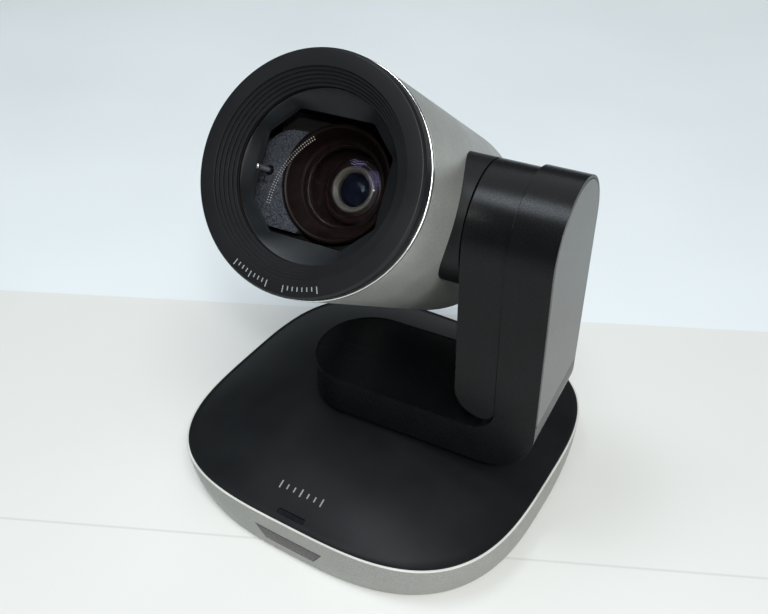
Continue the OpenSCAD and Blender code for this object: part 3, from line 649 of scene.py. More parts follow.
dome = [
    plan_ring(1, rim_z - 0.9, 0.12, ledge=LEDGE),
    plan_ring(1, rim_z + 0.12, 0.02, ledge=LEDGE),
    plan_ring(1, rim_z + 0.42, 0.16, ledge=LEDGE),
]
DOME_RINGS = 34
OUTSIDE_EDGE, OUTSIDE_TOP = 0.985, 0.215        # first and last ring, as shares of the plan
INSIDE_EDGE, INSIDE_TOP = 0.955, 0.24
for k in range(DOME_RINGS):
    dome.append(dome_ring(OUTSIDE_EDGE - (OUTSIDE_EDGE - OUTSIDE_TOP) * k / (DOME_RINGS - 1)))
dome.append(neck_ring(dome_z - 0.3))
dome.append(neck_ring(dome_z - 3))
for k in reversed(range(0, DOME_RINGS, 3)):
    dome.append(dome_ring(INSIDE_EDGE - (INSIDE_EDGE - INSIDE_TOP) * k / (DOME_RINGS - 1), SHELL_WALL))
dome.append(plan_ring(1, rim_z - 0.9, SHELL_WALL, ledge=LEDGE))
shell = loft("dome_cover", dome, BASE, closed=True)

led_low, led_high = span("led_window", BASE)
slot = rectangle(led_low.x - 0.35, led_low.y - 0.2, led_high.x + 0.35, led_high.y + 0.2, 0.7)
cut(shell, slab("slot", slot, rim_z - 4, dome_z + 2, "Z", BASE))
smooth(shell, 40)
dress(shell, "base", "shell_black", "top_shell")


def dome_height(x, y):
    """Height of the dome's outside over a point."""
    return dome_at(dome_scale(x, y)) + SHELL_PROUD


WINDOW_THICK = 1.4


def window_plate(name, outline, sink):
    """Window plate that follows the dome, sunk a little under its surface."""
    bm = bmesh.new()
    top = [bm.verts.new((p.x, p.y, dome_height(p.x, p.y) - sink)) for p in outline]
    bottom = [bm.verts.new((p.x, p.y, dome_height(p.x, p.y) - sink - WINDOW_THICK)) for p in outline]
    bm.faces.new(top)
    bm.faces.new(reversed(bottom))
    for k in range(len(outline)):
        j = (k + 1) % len(outline)
        bm.faces.new((top[k], top[j], bottom[j], bottom[k]))
    return new_object(name, bm, BASE)


plate = rectangle(led_low.x - 0.25, led_low.y - 0.1, led_high.x + 0.25, led_high.y + 0.1, 0.6)
led = window_plate("status_window", plate, 0.32)
dress(soften(led, 0.12, 2), "base", "smoke_window", "led_window")

# the infrared window lies in the silver band and follows its curve
ir_low, ir_high = span("ir_window", BASE)


def band_y(x, z):
    """Front surface of the silver band."""
    hx = base_hx * tray_scale(z)
    hy = base_hy * tray_scale(z)
    power = tray_power(z)
    return -hy * (1 - (abs(x) / hx) ** power) ** (1 / power)


IR_THICK = 0.5


def trapezoid_plate(name, top_half, low_half, top_z, low_z, proud):
    """Plate with leaning ends on the front of the band."""
    columns, rows = 40, 8
    bm = bmesh.new()
    grids = []
    for out in (proud, proud - IR_THICK):
        grid = []
        for r in range(rows + 1):
            z = low_z + (top_z - low_z) * r / rows
            half = low_half + (top_half - low_half) * r / rows
            row = []
            for c in range(columns + 1):
                x = -half + 2 * half * c / columns
                row.append(bm.verts.new((x, band_y(x, z) - out, z)))
            grid.append(row)
        grids.append(grid)
    for grid in grids:
        for r in range(rows):
            for c in range(columns):
                bm.faces.new((grid[r][c], grid[r][c + 1], grid[r + 1][c + 1], grid[r + 1][c]))
    front, back = grids
    for r in range(rows):
        for c in (0, columns):
            bm.faces.new((front[r][c], front[r + 1][c], back[r + 1][c], back[r][c]))
    for c in range(columns):
        for r in (0, rows):
            bm.faces.new((front[r][c], front[r][c + 1], back[r][c + 1], back[r][c]))
    return new_object(name, bm, BASE)


IR_LEAN = 3.8
IR_GAP = 0.22
ir_top = ir_high.x
ir_bottom = ir_top - IR_LEAN
# the seat shows as a near-black border round the pane: painted shade in the gap
seat = trapezoid_plate("ir_seat", ir_top + 0.3, ir_bottom + 0.3, ir_high.z + IR_GAP, ir_low.z - IR_GAP, 0.02)
dress(seat, "base", "ir_gray", finish="painted_shade_black")
pane = trapezoid_plate("ir_pane", ir_top, ir_bottom, ir_high.z, ir_low.z, 0.07)
dress(soften(pane, 0.05, 2, 50), "base", "ir_gray", "ir_window")


# ---- yoke ----

# cutting tools reach past the yoke on every side
YOKE_DEPTH = 26
PLAN_REACH_X, PLAN_REACH_Y = 90, 30
ARM_TOP = 140


def yoke_side(radius, half, low_z):
    """Side view of the arm: straight sides up to a round top."""
    outline = [Vector((-half, low_z)), Vector((half, low_z)), Vector((half, STRAIGHT_TOP))]
    outline += arc((0, tilt_height), radius, 0, 180, 72)
    outline.append(Vector((-half, STRAIGHT_TOP)))
    return outline


def foot_plan(inset):
    """Plan of the yoke with the foot's round end."""
    end = FOOT_HALF - inset
    outline = [Vector((PLAN_REACH_X, -PLAN_REACH_Y)), Vector((FOOT_END_X, -PLAN_REACH_Y))]
    outline += arc((FOOT_END_X, 0), end + 0.03, 270, 90, 72)
    outline += [Vector((FOOT_END_X, PLAN_REACH_Y)), Vector((PLAN_REACH_X, PLAN_REACH_Y))]
    return outline


def cut_plan(piece, inset):
    """Keeps only what lies inside the yoke's plan."""
    cut(piece, slab("plan", foot_plan(inset), 10, 150, "Z", YOKE), "INTERSECT")


def block(name, low, high, place):
    """Box-shaped tool for a cut."""
    return slab(name, rectangle(low[0], low[1], high[0], high[1]), low[2], high[2], "Z", place)


left = FOOT_END_X - FOOT_HALF - 2
yoke_front = rounded([
    (left, YOKE_BOTTOM, 0), (arm_x, YOKE_BOTTOM, OUTER_CORNER), (arm_x, ARM_TOP, 0),
    (ARM_SEAM_X, ARM_TOP, 0), (ARM_SEAM_X, DECK_TOP, INNER_CORNER), (left, DECK_TOP, 0)], 24)
yoke = slab("yoke_frame_body", yoke_front, -YOKE_DEPTH, YOKE_DEPTH, "Y", YOKE)
cut(yoke, slab("side", yoke_side(ARM_ROUND, FOOT_HALF, 20), -40, 80, "X", YOKE), "INTERSECT")
cut_plan(yoke, 0)


def deck_strip(lower, upper, seam):
    """Front view of the deck, from the flat part up into the inside corner."""
    corner = (ARM_SEAM_X - INNER_CORNER, DECK_TOP + INNER_CORNER)
    strip = [Vector((left, DECK_TOP - lower))]
    strip += arc(corner, INNER_CORNER + lower, 270, 350, 24)
    strip += arc(corner, INNER_CORNER + upper, 350, 270, 24)
    strip.append(Vector((left, DECK_TOP - upper)))
    return [Vector((min(p.x, seam), p.y)) for p in strip]


DECK_INSET = 0.75
strip_reach = FOOT_HALF - DECK_INSET
recess = slab("recess", deck_strip(1.6, -3, PLAN_REACH_X), -strip_reach, strip_reach, "Y", YOKE)
cut_plan(recess, DECK_INSET)
cut(recess, block("keep", (-60, -40, 0), (ARM_SEAM_X, 40, DECK_TOP + INNER_CORNER), YOKE), "INTERSECT")
cut(yoke, recess)

COVER_SHARE = 0.945
RECESS_SHARE = 0.953
COVER_DEPTH = 1.2


def cover_outline(share):
    """Side view of the arm's cover, drawn in towards the tilt axis."""
    return [Vector((p.x * share, tilt_height + (p.y - tilt_height) * share))
            for p in yoke_side(ARM_ROUND, COVER_HALF, COVER_BOTTOM)]


cut(yoke, slab("cover_recess", cover_outline(RECESS_SHARE), arm_x - COVER_DEPTH, arm_x + 3, "X", YOKE))
dress(soften(yoke, 0.55, 4), "yoke", "yoke_black", "yoke_frame")

SKIRT_RADIUS = 16.5
skirt = turned("pan_skirt", rounded([
    (NECK_RADIUS - 2, YOKE_BOTTOM - 1.2, 0), (SKIRT_RADIUS, YOKE_BOTTOM - 1.2, 0.3),
    (SKIRT_RADIUS, YOKE_BOTTOM + 0.5, 0), (NECK_RADIUS - 2, YOKE_BOTTOM + 0.5, 0)]),
    YOKE @ Matrix.Rotation(math.pi / 2, 4, "X"))
dress(skirt, "yoke", "yoke_black")

PARTING = 0.09
DECK_GAP = 0.12
for name, node, low, high in (
        ("deck_front_panel", "deck_front", -strip_reach + DECK_GAP, -PARTING / 2),
        ("deck_rear_panel", "deck_rear", PARTING / 2, strip_reach - DECK_GAP)):
    half = slab(name, deck_strip(1.5, 0.16, ARM_SEAM_X - DECK_GAP), low, high, "Y", YOKE)
    cut_plan(half, DECK_INSET + DECK_GAP)
    dress(soften(half, 0.14, 2), "yoke", "deck_black", node)

housing_outline = rounded([
    (housing_low.x, housing_low.z, 9.5), (ARM_SEAM_X - 0.1, housing_low.z, 4.2),
    (ARM_SEAM_X - 0.1, ARM_TOP, 0), (housing_low.x, ARM_TOP, 0)], 20)
housing = slab("arm_housing", housing_outline, -YOKE_DEPTH, YOKE_DEPTH, "Y", YOKE)
cut(housing, slab("side", yoke_side(housing_high.y, FOOT_HALF - 0.25, 20), 30, 60, "X", YOKE), "INTERSECT")
dress(soften(housing, 0.5, 4), "yoke", "yoke_black", "inner_housing")

# its grey finish is painted reflection of the bright table on what is a black panel
cover = slab("arm_cover", cover_outline(COVER_SHARE), arm_x - COVER_DEPTH, cover_x, "X", YOKE)
dress(soften(cover, 0.3, 3), "yoke", "cover_gray", "side_cover")


# ---- head ----

barrel_seam = cap_low.y
barrel_inside = BARREL_RADIUS - BARREL_WALL
barrel = turned("barrel_tube", rounded([
    (barrel_inside, barrel_low.y, 0), (BARREL_RADIUS, barrel_low.y, 0.15),
    (BARREL_RADIUS, barrel_seam - 0.1, 0.2), (barrel_inside, barrel_seam - 0.1, 0)], 4), LENS, BARREL_STEPS)
dress(barrel, "head", "barrel_silver", "barrel_shell")

back = turned("barrel_back", rounded([
    (barrel_inside, barrel_seam + 0.05, 0), (BARREL_RADIUS, barrel_seam + 0.05, 0.2),
    (BARREL_RADIUS, cap_high.y, BACK_ROUND - 0.6), (0, cap_high.y, 0), (0, cap_high.y - BARREL_WALL, 0),
    (barrel_inside, cap_high.y - BARREL_WALL, BACK_ROUND - 2.2)], 28), LENS, BARREL_STEPS)
dress(back, "head", "barrel_silver", "rear_cap")

trim_low, trim_high = span("trim_ring", LENS)
trim = turned("bright_trim", rounded([
    (BARREL_RADIUS - 1.9, trim_low.y, 0), (trim_high.x, trim_low.y, 0.45),
    (trim_high.x, trim_high.y, 0.25), (BARREL_RADIUS - 1.9, trim_high.y, 0)], 6), LENS, BARREL_STEPS)
dress(trim, "head", "trim_bright", "trim_ring")

BORE_RADIUS = BARREL_RADIUS - 0.3
BORE_REACH = 70
hub = slab("tilt_hub", arc((0, 0), HUB_RADIUS, 0, 357, 119), HUB_INNER_X, hub_high.x, "X", HEAD)
bore_profile = [(0, -BORE_REACH), (BORE_RADIUS, -BORE_REACH), (BORE_RADIUS, BORE_REACH), (0, BORE_REACH)]
cut(hub, turned("bore", bore_profile, LENS))
dress(soften(hub, 0.9, 4), "head", "hub_dark", "side_hub")

# bezel: a flat face, a stair of light-trapping steps, and a plain collar behind
bezel_front = bezel_low.y
STEP_DEPTH = 0.9
STEP_PITCH = 0.85
stairs = []
for i in range(STEP_COUNT):
    r = OPENING_RADIUS + (STEP_COUNT - i) * STEP_PITCH
    y = bezel_front + i * STEP_DEPTH
    stairs.append((r, y, 0.1))
    stairs.append((r, y + STEP_DEPTH, 0.04))
collar_y = bezel_high.y
bezel_profile = stairs + [
    (OPENING_RADIUS, bezel_front + STEP_COUNT * STEP_DEPTH, 0.12), (OPENING_RADIUS, collar_y, 0),
    (barrel_inside - 0.2, collar_y, 0), (barrel_inside - 0.2, trim_low.y - 0.1, 0),
    (BARREL_RADIUS - 0.15, trim_low.y - 0.1, 0.2), (bezel_high.x - 0.15, bezel_front + 0.95, 0.5),
    (bezel_high.x - 0.75, bezel_front, 0.45)]
bezel = turned("bezel_stairs", rounded(bezel_profile, 5), LENS, BARREL_STEPS)
dress(bezel, "head", "bezel_black", "front_bezel")


# ---- lens well ----

WINDOW_X = -1.6
WINDOW_HX = 19.9
WINDOW_HZ = 17.6
WINDOW_CHAMFER = 8
WINDOW_ROUND = 1.6
WINDOW_Y = -36.0
HOOD_RADIUS = BARREL_RADIUS - 2.4
RIM_Y = hood_low.y + 0.1


def window_outline():
    """Eight-sided window with rounded corners."""
    hx, hz = WINDOW_HX, WINDOW_HZ
    short_x, short_z = hx - WINDOW_CHAMFER, hz - WINDOW_CHAMFER
    corners = [(-short_x, -hz), (short_x, -hz), (hx, -short_z), (hx, short_z), (short_x, hz), (-short_x, hz),
               (-hx, short_z), (-hx, -short_z)]
    return rounded([(WINDOW_X + x, z, WINDOW_ROUND) for x, z in corners], 8)


def on_outline(outline, angle):
    """Point where a ray from the axis crosses an outline."""
    direction = Vector((math.cos(angle), math.sin(angle)))
    best = None
    for a, b in zip(outline, outline[1:] + outline[:1]):
        edge = b - a
        cross = direction.x * edge.y - direction.y * edge.x
        if abs(cross) < 1e-9:
            continue
        t = (a.x * edge.y - a.y * edge.x) / cross
        u = (a.x * direction.y - a.y * direction.x) / cross
        if t > 0 and -1e-6 <= u <= 1 + 1e-6:
            best = t if best is None else max(best, t)
    return direction * best


WELL_STEPS = 240
angles = [2 * math.pi * k / WELL_STEPS for k in range(WELL_STEPS)]
window = [on_outline(window_outline(), a) for a in angles]
circle = [Vector((math.cos(a), math.sin(a))) for a in angles]


def well_ring(blend_to_window, y, circle_radius):
    """Ring of the well between a circle (0) and the window's outline (1)."""
    ring = []
    for unit, edge in zip(circle, window):
        p = unit * circle_radius * (1 - blend_to_window) + edge * blend_to_window
        ring.append((p.x, y, p.y))
    return ring


hood_rings = [
    well_ring(0, hood_high.y, HOOD_RADIUS),
    well_ring(0, RIM_Y, HOOD_RADIUS),
    well_ring(0, RIM_Y, OPENING_RADIUS + 0.4),
    well_ring(0, RIM_Y + 0.25, OPENING_RADIUS - 0.05),
]
THROAT_RINGS = 8
for k in range(1, THROAT_RINGS + 1):
    t = k / THROAT_RINGS
    y = RIM_Y + 0.25 + (WINDOW_Y - 0.15 - RIM_Y - 0.25) * t ** 1.15
    hood_rings.append(well_ring(t, y, OPENING_RADIUS - 0.05))
hood_rings.append(well_ring(1, WINDOW_Y + 0.1, OPENING_RADIUS))
hood_rings.append(well_ring(1, hood_high.y, OPENING_RADIUS))
hood = loft("well_hood", hood_rings, LENS, closed=True)
dress(hood, "head", "hood_black", "lens_hood")

# thin bronze-tinted lip between the stairs and the well
lip = turned("well_lip", rounded([
    (OPENING_RADIUS - 0.16, collar_y - 0.5, 0.08), (OPENING_RADIUS + 0.3, collar_y - 0.5, 0),
    (OPENING_RADIUS + 0.3, RIM_Y + 0.1, 0), (OPENING_RADIUS - 0.16, RIM_Y + 0.1, 0.08)], 3),
    LENS, BARREL_STEPS)
dress(lip, "head", "lens_ring")

# textured block left of the ring, with room for the ring, and the hole and the two slots of the guide pin
BLOCK_Y = block_low.y
BLOCK_LEFT = -25.0
PLATE_LOW, PLATE_HIGH, PLATE_RIGHT = -16.4, 12.0, -8
PLATE_DEPTH = 6
plate_outline = rounded([
    (BLOCK_LEFT, PLATE_LOW, 0.8), (PLATE_RIGHT, PLATE_LOW, 0.5), (PLATE_RIGHT, PLATE_HIGH, 0.5),
    (PLATE_RIGHT - 4, PLATE_HIGH + 0.2, 2), (BLOCK_LEFT, PLATE_HIGH - 0.4, 9.5)], 14)
lens_block = slab("lens_block", plate_outline, BLOCK_Y, BLOCK_Y + PLATE_DEPTH, "Y", LENS)
ring_room = [(0, -3), (RING_RADIUS + 0.35, -3), (RING_RADIUS + 0.35, 7), (0, 7)]
cut(lens_block, turned("bore", [(r, BLOCK_Y + y) for r, y in ring_room], LENS, 128))
PIN_X, PIN_Z = -21.7, -0.9
PIN_RADIUS = 0.78
HOLE_RADIUS = 1.5
PIN_PLACE = LENS @ Matrix.Translation((PIN_X, 0, PIN_Z))
hole_profile = [(0, -2), (HOLE_RADIUS, -2), (HOLE_RADIUS, 3), (0, 3)]
cut(lens_block, turned("hole", [(r, BLOCK_Y + y) for r, y in hole_profile], PIN_PLACE, 40))
cut(lens_block, block("notch", (-25.6, BLOCK_Y - 1, -4.9), (-21.6, BLOCK_Y + 1.2, -4.1), LENS))
cut(lens_block, block("notch", (-22.9, BLOCK_Y - 1, -4.3), (-22.3, BLOCK_Y + 1.2, -2.7), LENS))
dress(soften(lens_block, 0.22, 3), "head", "lens_body", "lens_housing")

# the rest of the block stands deeper, painted near-black as shade instead of the block's own finish
TUNNEL_RADIUS = 13.4
rear_outline = rectangle(BLOCK_LEFT + 0.5, block_low.z, block_high.x, block_high.z, 0.8, 6)
rear_block = slab("lens_block_rear", rear_outline, BLOCK_Y + PLATE_DEPTH + 0.02, block_high.y, "Y", LENS)
cut(rear_block, block("inner", (-23, BLOCK_Y + 7.5, -13.2), (18.6, 40, 13.2), LENS))
tunnel_profile = [(0, 0), (TUNNEL_RADIUS, 0), (TUNNEL_RADIUS, 9), (0, 9)]
cut(rear_block, turned("tunnel", [(r, BLOCK_Y + y) for r, y in tunnel_profile], LENS, 128))
dress(soften(rear_block, 0.3, 2), "head", "lens_body", finish="painted_shade_black")

pin = turned("guide_pin", rounded([
    (0, BLOCK_Y + 2.8, 0), (0, WINDOW_Y - 0.4, 0), (PIN_RADIUS, WINDOW_Y - 0.4, 0.35),
    (PIN_RADIUS, BLOCK_Y + 2.8, 0)], 5), PIN_PLACE, 40)
dress(pin, "head", "steel")

# fine rack on the block beside the ring: paired teeth along an arc, in a pale finish that paints the glints
# of the lamps on them
RACK_CENTRE = Vector((7.6, -9.5))
RACK_RADIUS = 27.0
RACK_START, RACK_END, RACK_PAIRS = 131, 181, 32
TOOTH_OFFSET = 0.42
TOOTH_HALF = (0.23, 0.22, 0.15)
bm = bmesh.new()
for k in range(RACK_PAIRS):
    a = math.radians(RACK_START + (RACK_END - RACK_START) * k / (RACK_PAIRS - 1))
    for offset in (-TOOTH_OFFSET, TOOTH_OFFSET):
        p = RACK_CENTRE + Vector((math.cos(a), math.sin(a))) * (RACK_RADIUS + offset)
        turn = Matrix.Translation((p.x, BLOCK_Y - 0.02, p.y)) @ Matrix.Rotation(-a, 4, "Y")
        bmesh.ops.create_icosphere(bm, subdivisions=2, radius=1,
                                   matrix=turn @ Matrix.Diagonal((*TOOTH_HALF, 1)))
rack = new_object("focus_rack", bm, LENS)
smooth(rack, 60)
dress(rack, "head", "brass", finish="tooth_painted_glint")

# ring round the front element: knurled edge, five trap steps, then the bright retaining ring
KNURLS = 96
KNURL_DEPTH = 0.09
KNURL_POINTS = (2, 3, 4)


def knurl(index, angle):
    """Wave of the ring's outer edge."""
    return KNURL_DEPTH * math.cos(KNURLS * angle) if index in KNURL_POINTS else 0.0


ring_front = BLOCK_Y - 0.15
retainer_y = -23.5
cone = []
CONE_STEPS = 5
for i in range(CONE_STEPS):
    r = RING_RADIUS - 1.35 - i * (RING_RADIUS - 1.9 - GLASS_RADIUS - 0.7) / CONE_STEPS
    y = ring_front + 0.5 + i * (retainer_y - ring_front - 0.9) / CONE_STEPS
    cone += [(r, y), (r - 0.12, y + 0.26)]
ring_profile = [
    (RING_RADIUS - 1.0, ring_high.y), (RING_RADIUS - 1.0, BLOCK_Y + 2.5), (RING_RADIUS, BLOCK_Y + 2.5),
    (RING_RADIUS, ring_front + 0.3), (RING_RADIUS - 0.2, ring_front + 0.05), (RING_RADIUS - 0.7, ring_front),
    (RING_RADIUS - 1.1, ring_front + 0.2)] + cone + [
    (GLASS_RADIUS + 0.5, retainer_y - 0.3), (GLASS_RADIUS + 0.42, retainer_y + 1.4),
    (GLASS_RADIUS + 0.2, ring_high.y)]
front_ring = turned("front_ring_knurled", ring_profile, LENS, 576, knurl)
dress(front_ring, "head", "lens_ring", "front_ring")

retainer = turned("retaining_ring", rounded([
    (GLASS_RADIUS - 0.02, retainer_y, 0.08), (GLASS_RADIUS + 0.3, retainer_y - 0.1, 0.1),
    (GLASS_RADIUS + 0.42, retainer_y + 1.2, 0), (GLASS_RADIUS + 0.02, retainer_y + 1.2, 0)], 4), LENS, 192)
dress(retainer, "head", "trim_bright")


def lens_profile(rim, front, back, front_ball, back_ball, steps=24):
    """Half section of a glass element whose two faces have their tops at front and back. A negative
    back_ball hollows the back."""
    points = []
    for k in range(steps + 1):
        r = rim * k / steps
        points.append((r, front + front_ball - math.sqrt(front_ball ** 2 - r ** 2)))
    for k in range(steps, -1, -1):
        r = rim * k / steps
        points.append((r, back - back_ball + math.copysign(math.sqrt(back_ball ** 2 - r ** 2), back_ball)))
    return points


FRONT_BALL, BACK_BALL = 24, -26
front_profile = lens_profile(GLASS_RADIUS - 0.05, glass_low.y, glass_low.y + 1.9, FRONT_BALL, BACK_BALL)
front_glass = turned("front_glass", front_profile, LENS, 160)
dress(front_glass, "head", "lens_glass", "front_element")

# short tunnel behind it, clear of the zoom carrier at full travel
tunnel_y = glass_low.y + 2.9
tunnel_end = tunnel_y + 2.9
tunnel = turned("baffle_tunnel", [
    (TUNNEL_RADIUS - 0.2, tunnel_y), (TUNNEL_RADIUS - 0.2, tunnel_end), (GLASS_RADIUS - 0.9, tunnel_end),
    (GLASS_RADIUS - 0.6, tunnel_y + 2.1), (GLASS_RADIUS - 0.3, tunnel_y + 2.0), (GLASS_RADIUS, tunnel_y)],
    LENS, 160)
dress(tunnel, "head", "lens_ring")

# zoom cell: it slides with the zoom group, and stays behind the front element at full travel
cell_back = span("zoom_glass", LENS)[0].y + 2
cell_front = glass_low.y + 9.2
CELL_GLASS = 4.8
CELL_LIP = 6.5
CELL_RADIUS = 9.6
cell_face = [
    (CELL_RADIUS, 1.6), (9.3, 1.45), (8.5, 1.25), (8.4, 1.6), (7.6, 1.35), (7.5, 0.95), (CELL_LIP, 0.7)]
cell_outline = [(r, cell_front + y) for r, y in cell_face]
cell = turned("zoom_cell", [(CELL_RADIUS, cell_back), *cell_outline, (CELL_LIP, cell_back)], LENS, 128)
dress(cell, "zoom_group", "lens_ring")
cell_lip = turned("zoom_cell_lip", rounded([
    (CELL_LIP - 0.02, cell_back, 0), (CELL_LIP - 0.02, cell_front + 0.25, 0.2), (6.0, cell_front, 0.15),
    (5.6, cell_front + 0.1, 0.1), (CELL_GLASS + 0.05, cell_front + 0.8, 0.1),
    (CELL_GLASS + 0.02, cell_back, 0)], 4), LENS, 128)
dress(cell_lip, "zoom_group", "lens_ring", finish="cell_bronze")
CELL_FRONT_BALL, CELL_BACK_BALL = 6.2, 30
cell_profile = lens_profile(CELL_GLASS, cell_front + 0.1, cell_front + 2.6, CELL_FRONT_BALL, CELL_BACK_BALL)
cell_glass = turned("zoom_front_glass", cell_profile, LENS, 96)
dress(cell_glass, "zoom_group", "lens_glass", finish="deep_glass")


# ---- printed marks: plain index ticks in place of lettering ----

def tick(bm, place, width, height, thick=0.03):
    """Flat printed bar standing a hair proud of the surface, in the XZ plane of place."""
    bmesh.ops.create_cube(bm, size=1, matrix=place @ Matrix.Diagonal((width, thick, height, 1)))


MARK_RADIUS = 30.9
MARK_WIDTH, MARK_SHORT, MARK_TALL = 0.3, 1.15, 1.9
bm = bmesh.new()
for first, count, step, tall_every in ((-117, 9, 2.6, 4), (-86.5, 8, 2.7, 7)):
    for k in range(count):
        a = math.radians(first + step * k)
        tall = MARK_TALL if k % tall_every == 0 else MARK_SHORT
        base_r = MARK_RADIUS - MARK_TALL / 2 + tall / 2
        spot = Matrix.Translation((base_r * math.cos(a), bezel_front, base_r * math.sin(a)))
        tick(bm, spot @ Matrix.Rotation(math.pi / 2 - a, 4, "Y"), MARK_WIDTH, tall)
marks = new_object("bezel_index_marks", bm, LENS)
dress(marks, "head", "bezel_black", finish="print_gray")

BASE_MARK_X, BASE_MARK_STEP, BASE_MARK_COUNT = -9.2, 2.75, 7
BASE_MARK_WIDTH, BASE_MARK_SHORT, BASE_MARK_TALL = 0.5, 1.8, 2.8
MARK_Y = -52.2
bm = bmesh.new()
for k in range(BASE_MARK_COUNT):
    x = BASE_MARK_X + BASE_MARK_STEP * k
    tall = BASE_MARK_TALL if k % 3 == 0 else BASE_MARK_SHORT
    z = dome_height(x, MARK_Y)
    slope = math.atan2(dome_height(x, MARK_Y + 1) - dome_height(x, MARK_Y - 1), 2)
    spot = Matrix.Translation((x, MARK_Y, z)) @ Matrix.Rotation(slope - math.pi / 2, 4, "X")
    tick(bm, spot, BASE_MARK_WIDTH, tall, 0.05)
base_marks = new_object("base_index_marks", bm, BASE)
dress(base_marks, "base", "shell_black", finish="print_gray")


# ---- camera, light and floor ----

CAMERA_PLACE = Vector((0.13077, -0.20809, 0.25198))
CAMERA_AZIMUTH = math.radians(32.19)
CAMERA_ELEVATION = math.radians(36.87)
CAMERA_ROLL = math.radians(-0.87)
IMAGE_WIDTH = 768
FOCAL_PIXELS = 898.5

camera = in_scene("camera", bpy.data.cameras.new("camera"))
camera.data.lens = FOCAL_PIXELS / IMAGE_WIDTH * camera.data.sensor_width
camera.data.clip_start = 0.01
back_axis = Vector((
    math.sin(CAMERA_AZIMUTH) * math.cos(CAMERA_ELEVATION),
    -math.cos(CAMERA_AZIMUTH) * math.cos(CAMERA_ELEVATION),
    math.sin(CAMERA_ELEVATION)))
right_axis = Vector((math.cos(CAMERA_AZIMUTH), math.sin(CAMERA_AZIMUTH), 0))
up_axis = back_axis.cross(right_axis)
turn = Matrix((right_axis, up_axis, back_axis)).transposed() @ Matrix.Rotation(CAMERA_ROLL, 3, "Z")
camera.matrix_world = Matrix.Translation(CAMERA_PLACE) @ turn.to_4x4()
bpy.context.scene.camera = camera


def lamp(name, place, aim, size, power, colour):
    """Soft box that looks at a point."""
    data = bpy.data.lights.new(name, "AREA")
    data.shape = "RECTANGLE"
    data.size, data.size_y = size
    data.energy = power
    data.color = colour
    made = in_scene(name, data)
    made.location = place
    made.rotation_euler = (Vector(aim) - Vector(place)).to_track_quat("-Z", "Y").to_euler()


SUN_ENERGY = 2.1
SUN_SPREAD = math.radians(28)
SUN_RUNS = Vector((-0.62, 0.62, -1.25))
WORLD_LIGHT, WORLD_SEEN = 0.08, 0.8         # the sky's strength as a light and as the picture shows it

sun_data = bpy.data.lights.new("key", "SUN")
sun_data.energy = SUN_ENERGY
sun_data.angle = SUN_SPREAD
sun_data.color = (1.0, 0.985, 0.96)
sun = in_scene("key", sun_data)
sun.rotation_euler = SUN_RUNS.to_track_quat("-Z", "Y").to_euler()

target = (0, 0, 0.06)
lamp("backdrop", (-0.25, 0.75, 0.95), (-0.3, 0.75, 0), (1.4, 0.5), 2.5, (0.93, 0.97, 1.0))
lamp("overhead", (-0.14, -0.2, 0.9), target, (0.28, 0.28), 2.8, (0.86, 0.93, 1.0))
lamp("right_side", (0.98, -0.5, 0.24), target, (0.5, 0.35), 3.5, (0.92, 0.96, 1.0))
lamp("flash", (0.19, -0.26, 0.36), target, (0.035, 0.02), 0.65, (1.0, 0.98, 0.95))

world = bpy.data.worlds.new("studio")
world.use_nodes = True
sky = world.node_tree.nodes["Background"]
sky.inputs["Color"].default_value = (0.80, 0.87, 0.92, 1)
path = world.node_tree.nodes.new("ShaderNodeLightPath")
strength = world.node_tree.nodes.new("ShaderNodeMapRange")
strength.inputs["To Min"].default_value = WORLD_LIGHT
strength.inputs["To Max"].default_value = WORLD_SEEN
world.node_tree.links.new(path.outputs["Is Camera Ray"], strength.inputs["Value"])
world.node_tree.links.new(strength.outputs["Result"], sky.inputs["Strength"])
bpy.context.scene.world = world
bpy.context.scene.view_settings.view_transform = "Standard"

FLOOR_HALF = 3
WALL_TURN = 25.58           # degrees between the table's far edge and the X axis
WALL_DISTANCE = 0.0865      # from the origin to that edge
JOINT_DISTANCE = -0.048     # and to the joint, which runs along it
JOINT_HALF, JOINT_CORE, JOINT_DARKNESS = 0.0007, 0.0001, 0.4
EDGE_HALF = 0.0004          # softness of the far edge


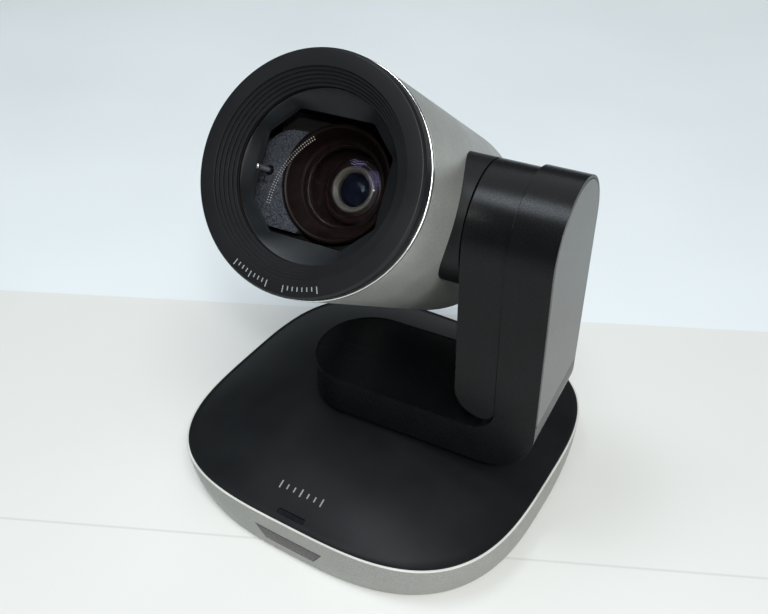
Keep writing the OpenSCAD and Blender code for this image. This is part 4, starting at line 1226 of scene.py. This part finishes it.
def floor_material():
    """Off-white table top with one fine joint, and beyond its far edge the pale blue-grey wall colour."""
    r = Recipe("floor")
    turned_place = r.node("ShaderNodeMapping")
    turned_place.inputs["Rotation"].default_value = (0, 0, -math.radians(WALL_TURN))
    r.tree.links.new(r.place, turned_place.inputs["Vector"])
    split = r.node("ShaderNodeSeparateXYZ")
    r.tree.links.new(turned_place.outputs["Vector"], split.inputs["Vector"])
    beyond = r.node("ShaderNodeMapRange")
    beyond.inputs["From Min"].default_value = WALL_DISTANCE - EDGE_HALF
    beyond.inputs["From Max"].default_value = WALL_DISTANCE + EDGE_HALF
    r.tree.links.new(split.outputs["Y"], beyond.inputs["Value"])
    soft = r.noise(160, 2)
    table = r.ramp(soft, (0.66, 0.68, 0.665), (0.70, 0.72, 0.705), 0.3, 0.7)
    offset = r.node("ShaderNodeMath", operation="SUBTRACT")
    offset.inputs[1].default_value = JOINT_DISTANCE
    r.tree.links.new(split.outputs["Y"], offset.inputs[0])
    away = r.node("ShaderNodeMath", operation="ABSOLUTE")
    r.tree.links.new(offset.outputs["Value"], away.inputs[0])
    joint = r.node("ShaderNodeMapRange")
    joint.inputs["From Min"].default_value = JOINT_HALF
    joint.inputs["From Max"].default_value = JOINT_CORE
    joint.inputs["To Max"].default_value = JOINT_DARKNESS
    r.tree.links.new(away.outputs["Value"], joint.inputs["Value"])
    seam = r.node("ShaderNodeMix", data_type="RGBA")
    r.tree.links.new(joint.outputs["Result"], seam.inputs["Factor"])
    r.tree.links.new(table, seam.inputs[6])
    seam.inputs[7].default_value = (0.42, 0.44, 0.43, 1)
    wall = r.ramp(soft, (0.70, 0.76, 0.785), (0.74, 0.80, 0.825), 0.3, 0.7)
    mix = r.node("ShaderNodeMix", data_type="RGBA")
    r.tree.links.new(beyond.outputs["Result"], mix.inputs["Factor"])
    r.tree.links.new(seam.outputs[2], mix.inputs[6])
    r.tree.links.new(wall, mix.inputs[7])
    r.link(mix.outputs[2], "Base Color")
    r.set(Roughness=0.5, Specular_IOR_Level=0.2)
    return r.material


bm = bmesh.new()
bmesh.ops.create_grid(bm, x_segments=8, y_segments=8, size=FLOOR_HALF)
floor_mesh = bpy.data.meshes.new("floor")
bm.to_mesh(floor_mesh)
bm.free()
floor = in_scene("floor", floor_mesh)
floor.data.materials.append(floor_material())
floor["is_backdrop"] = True

low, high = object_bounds()
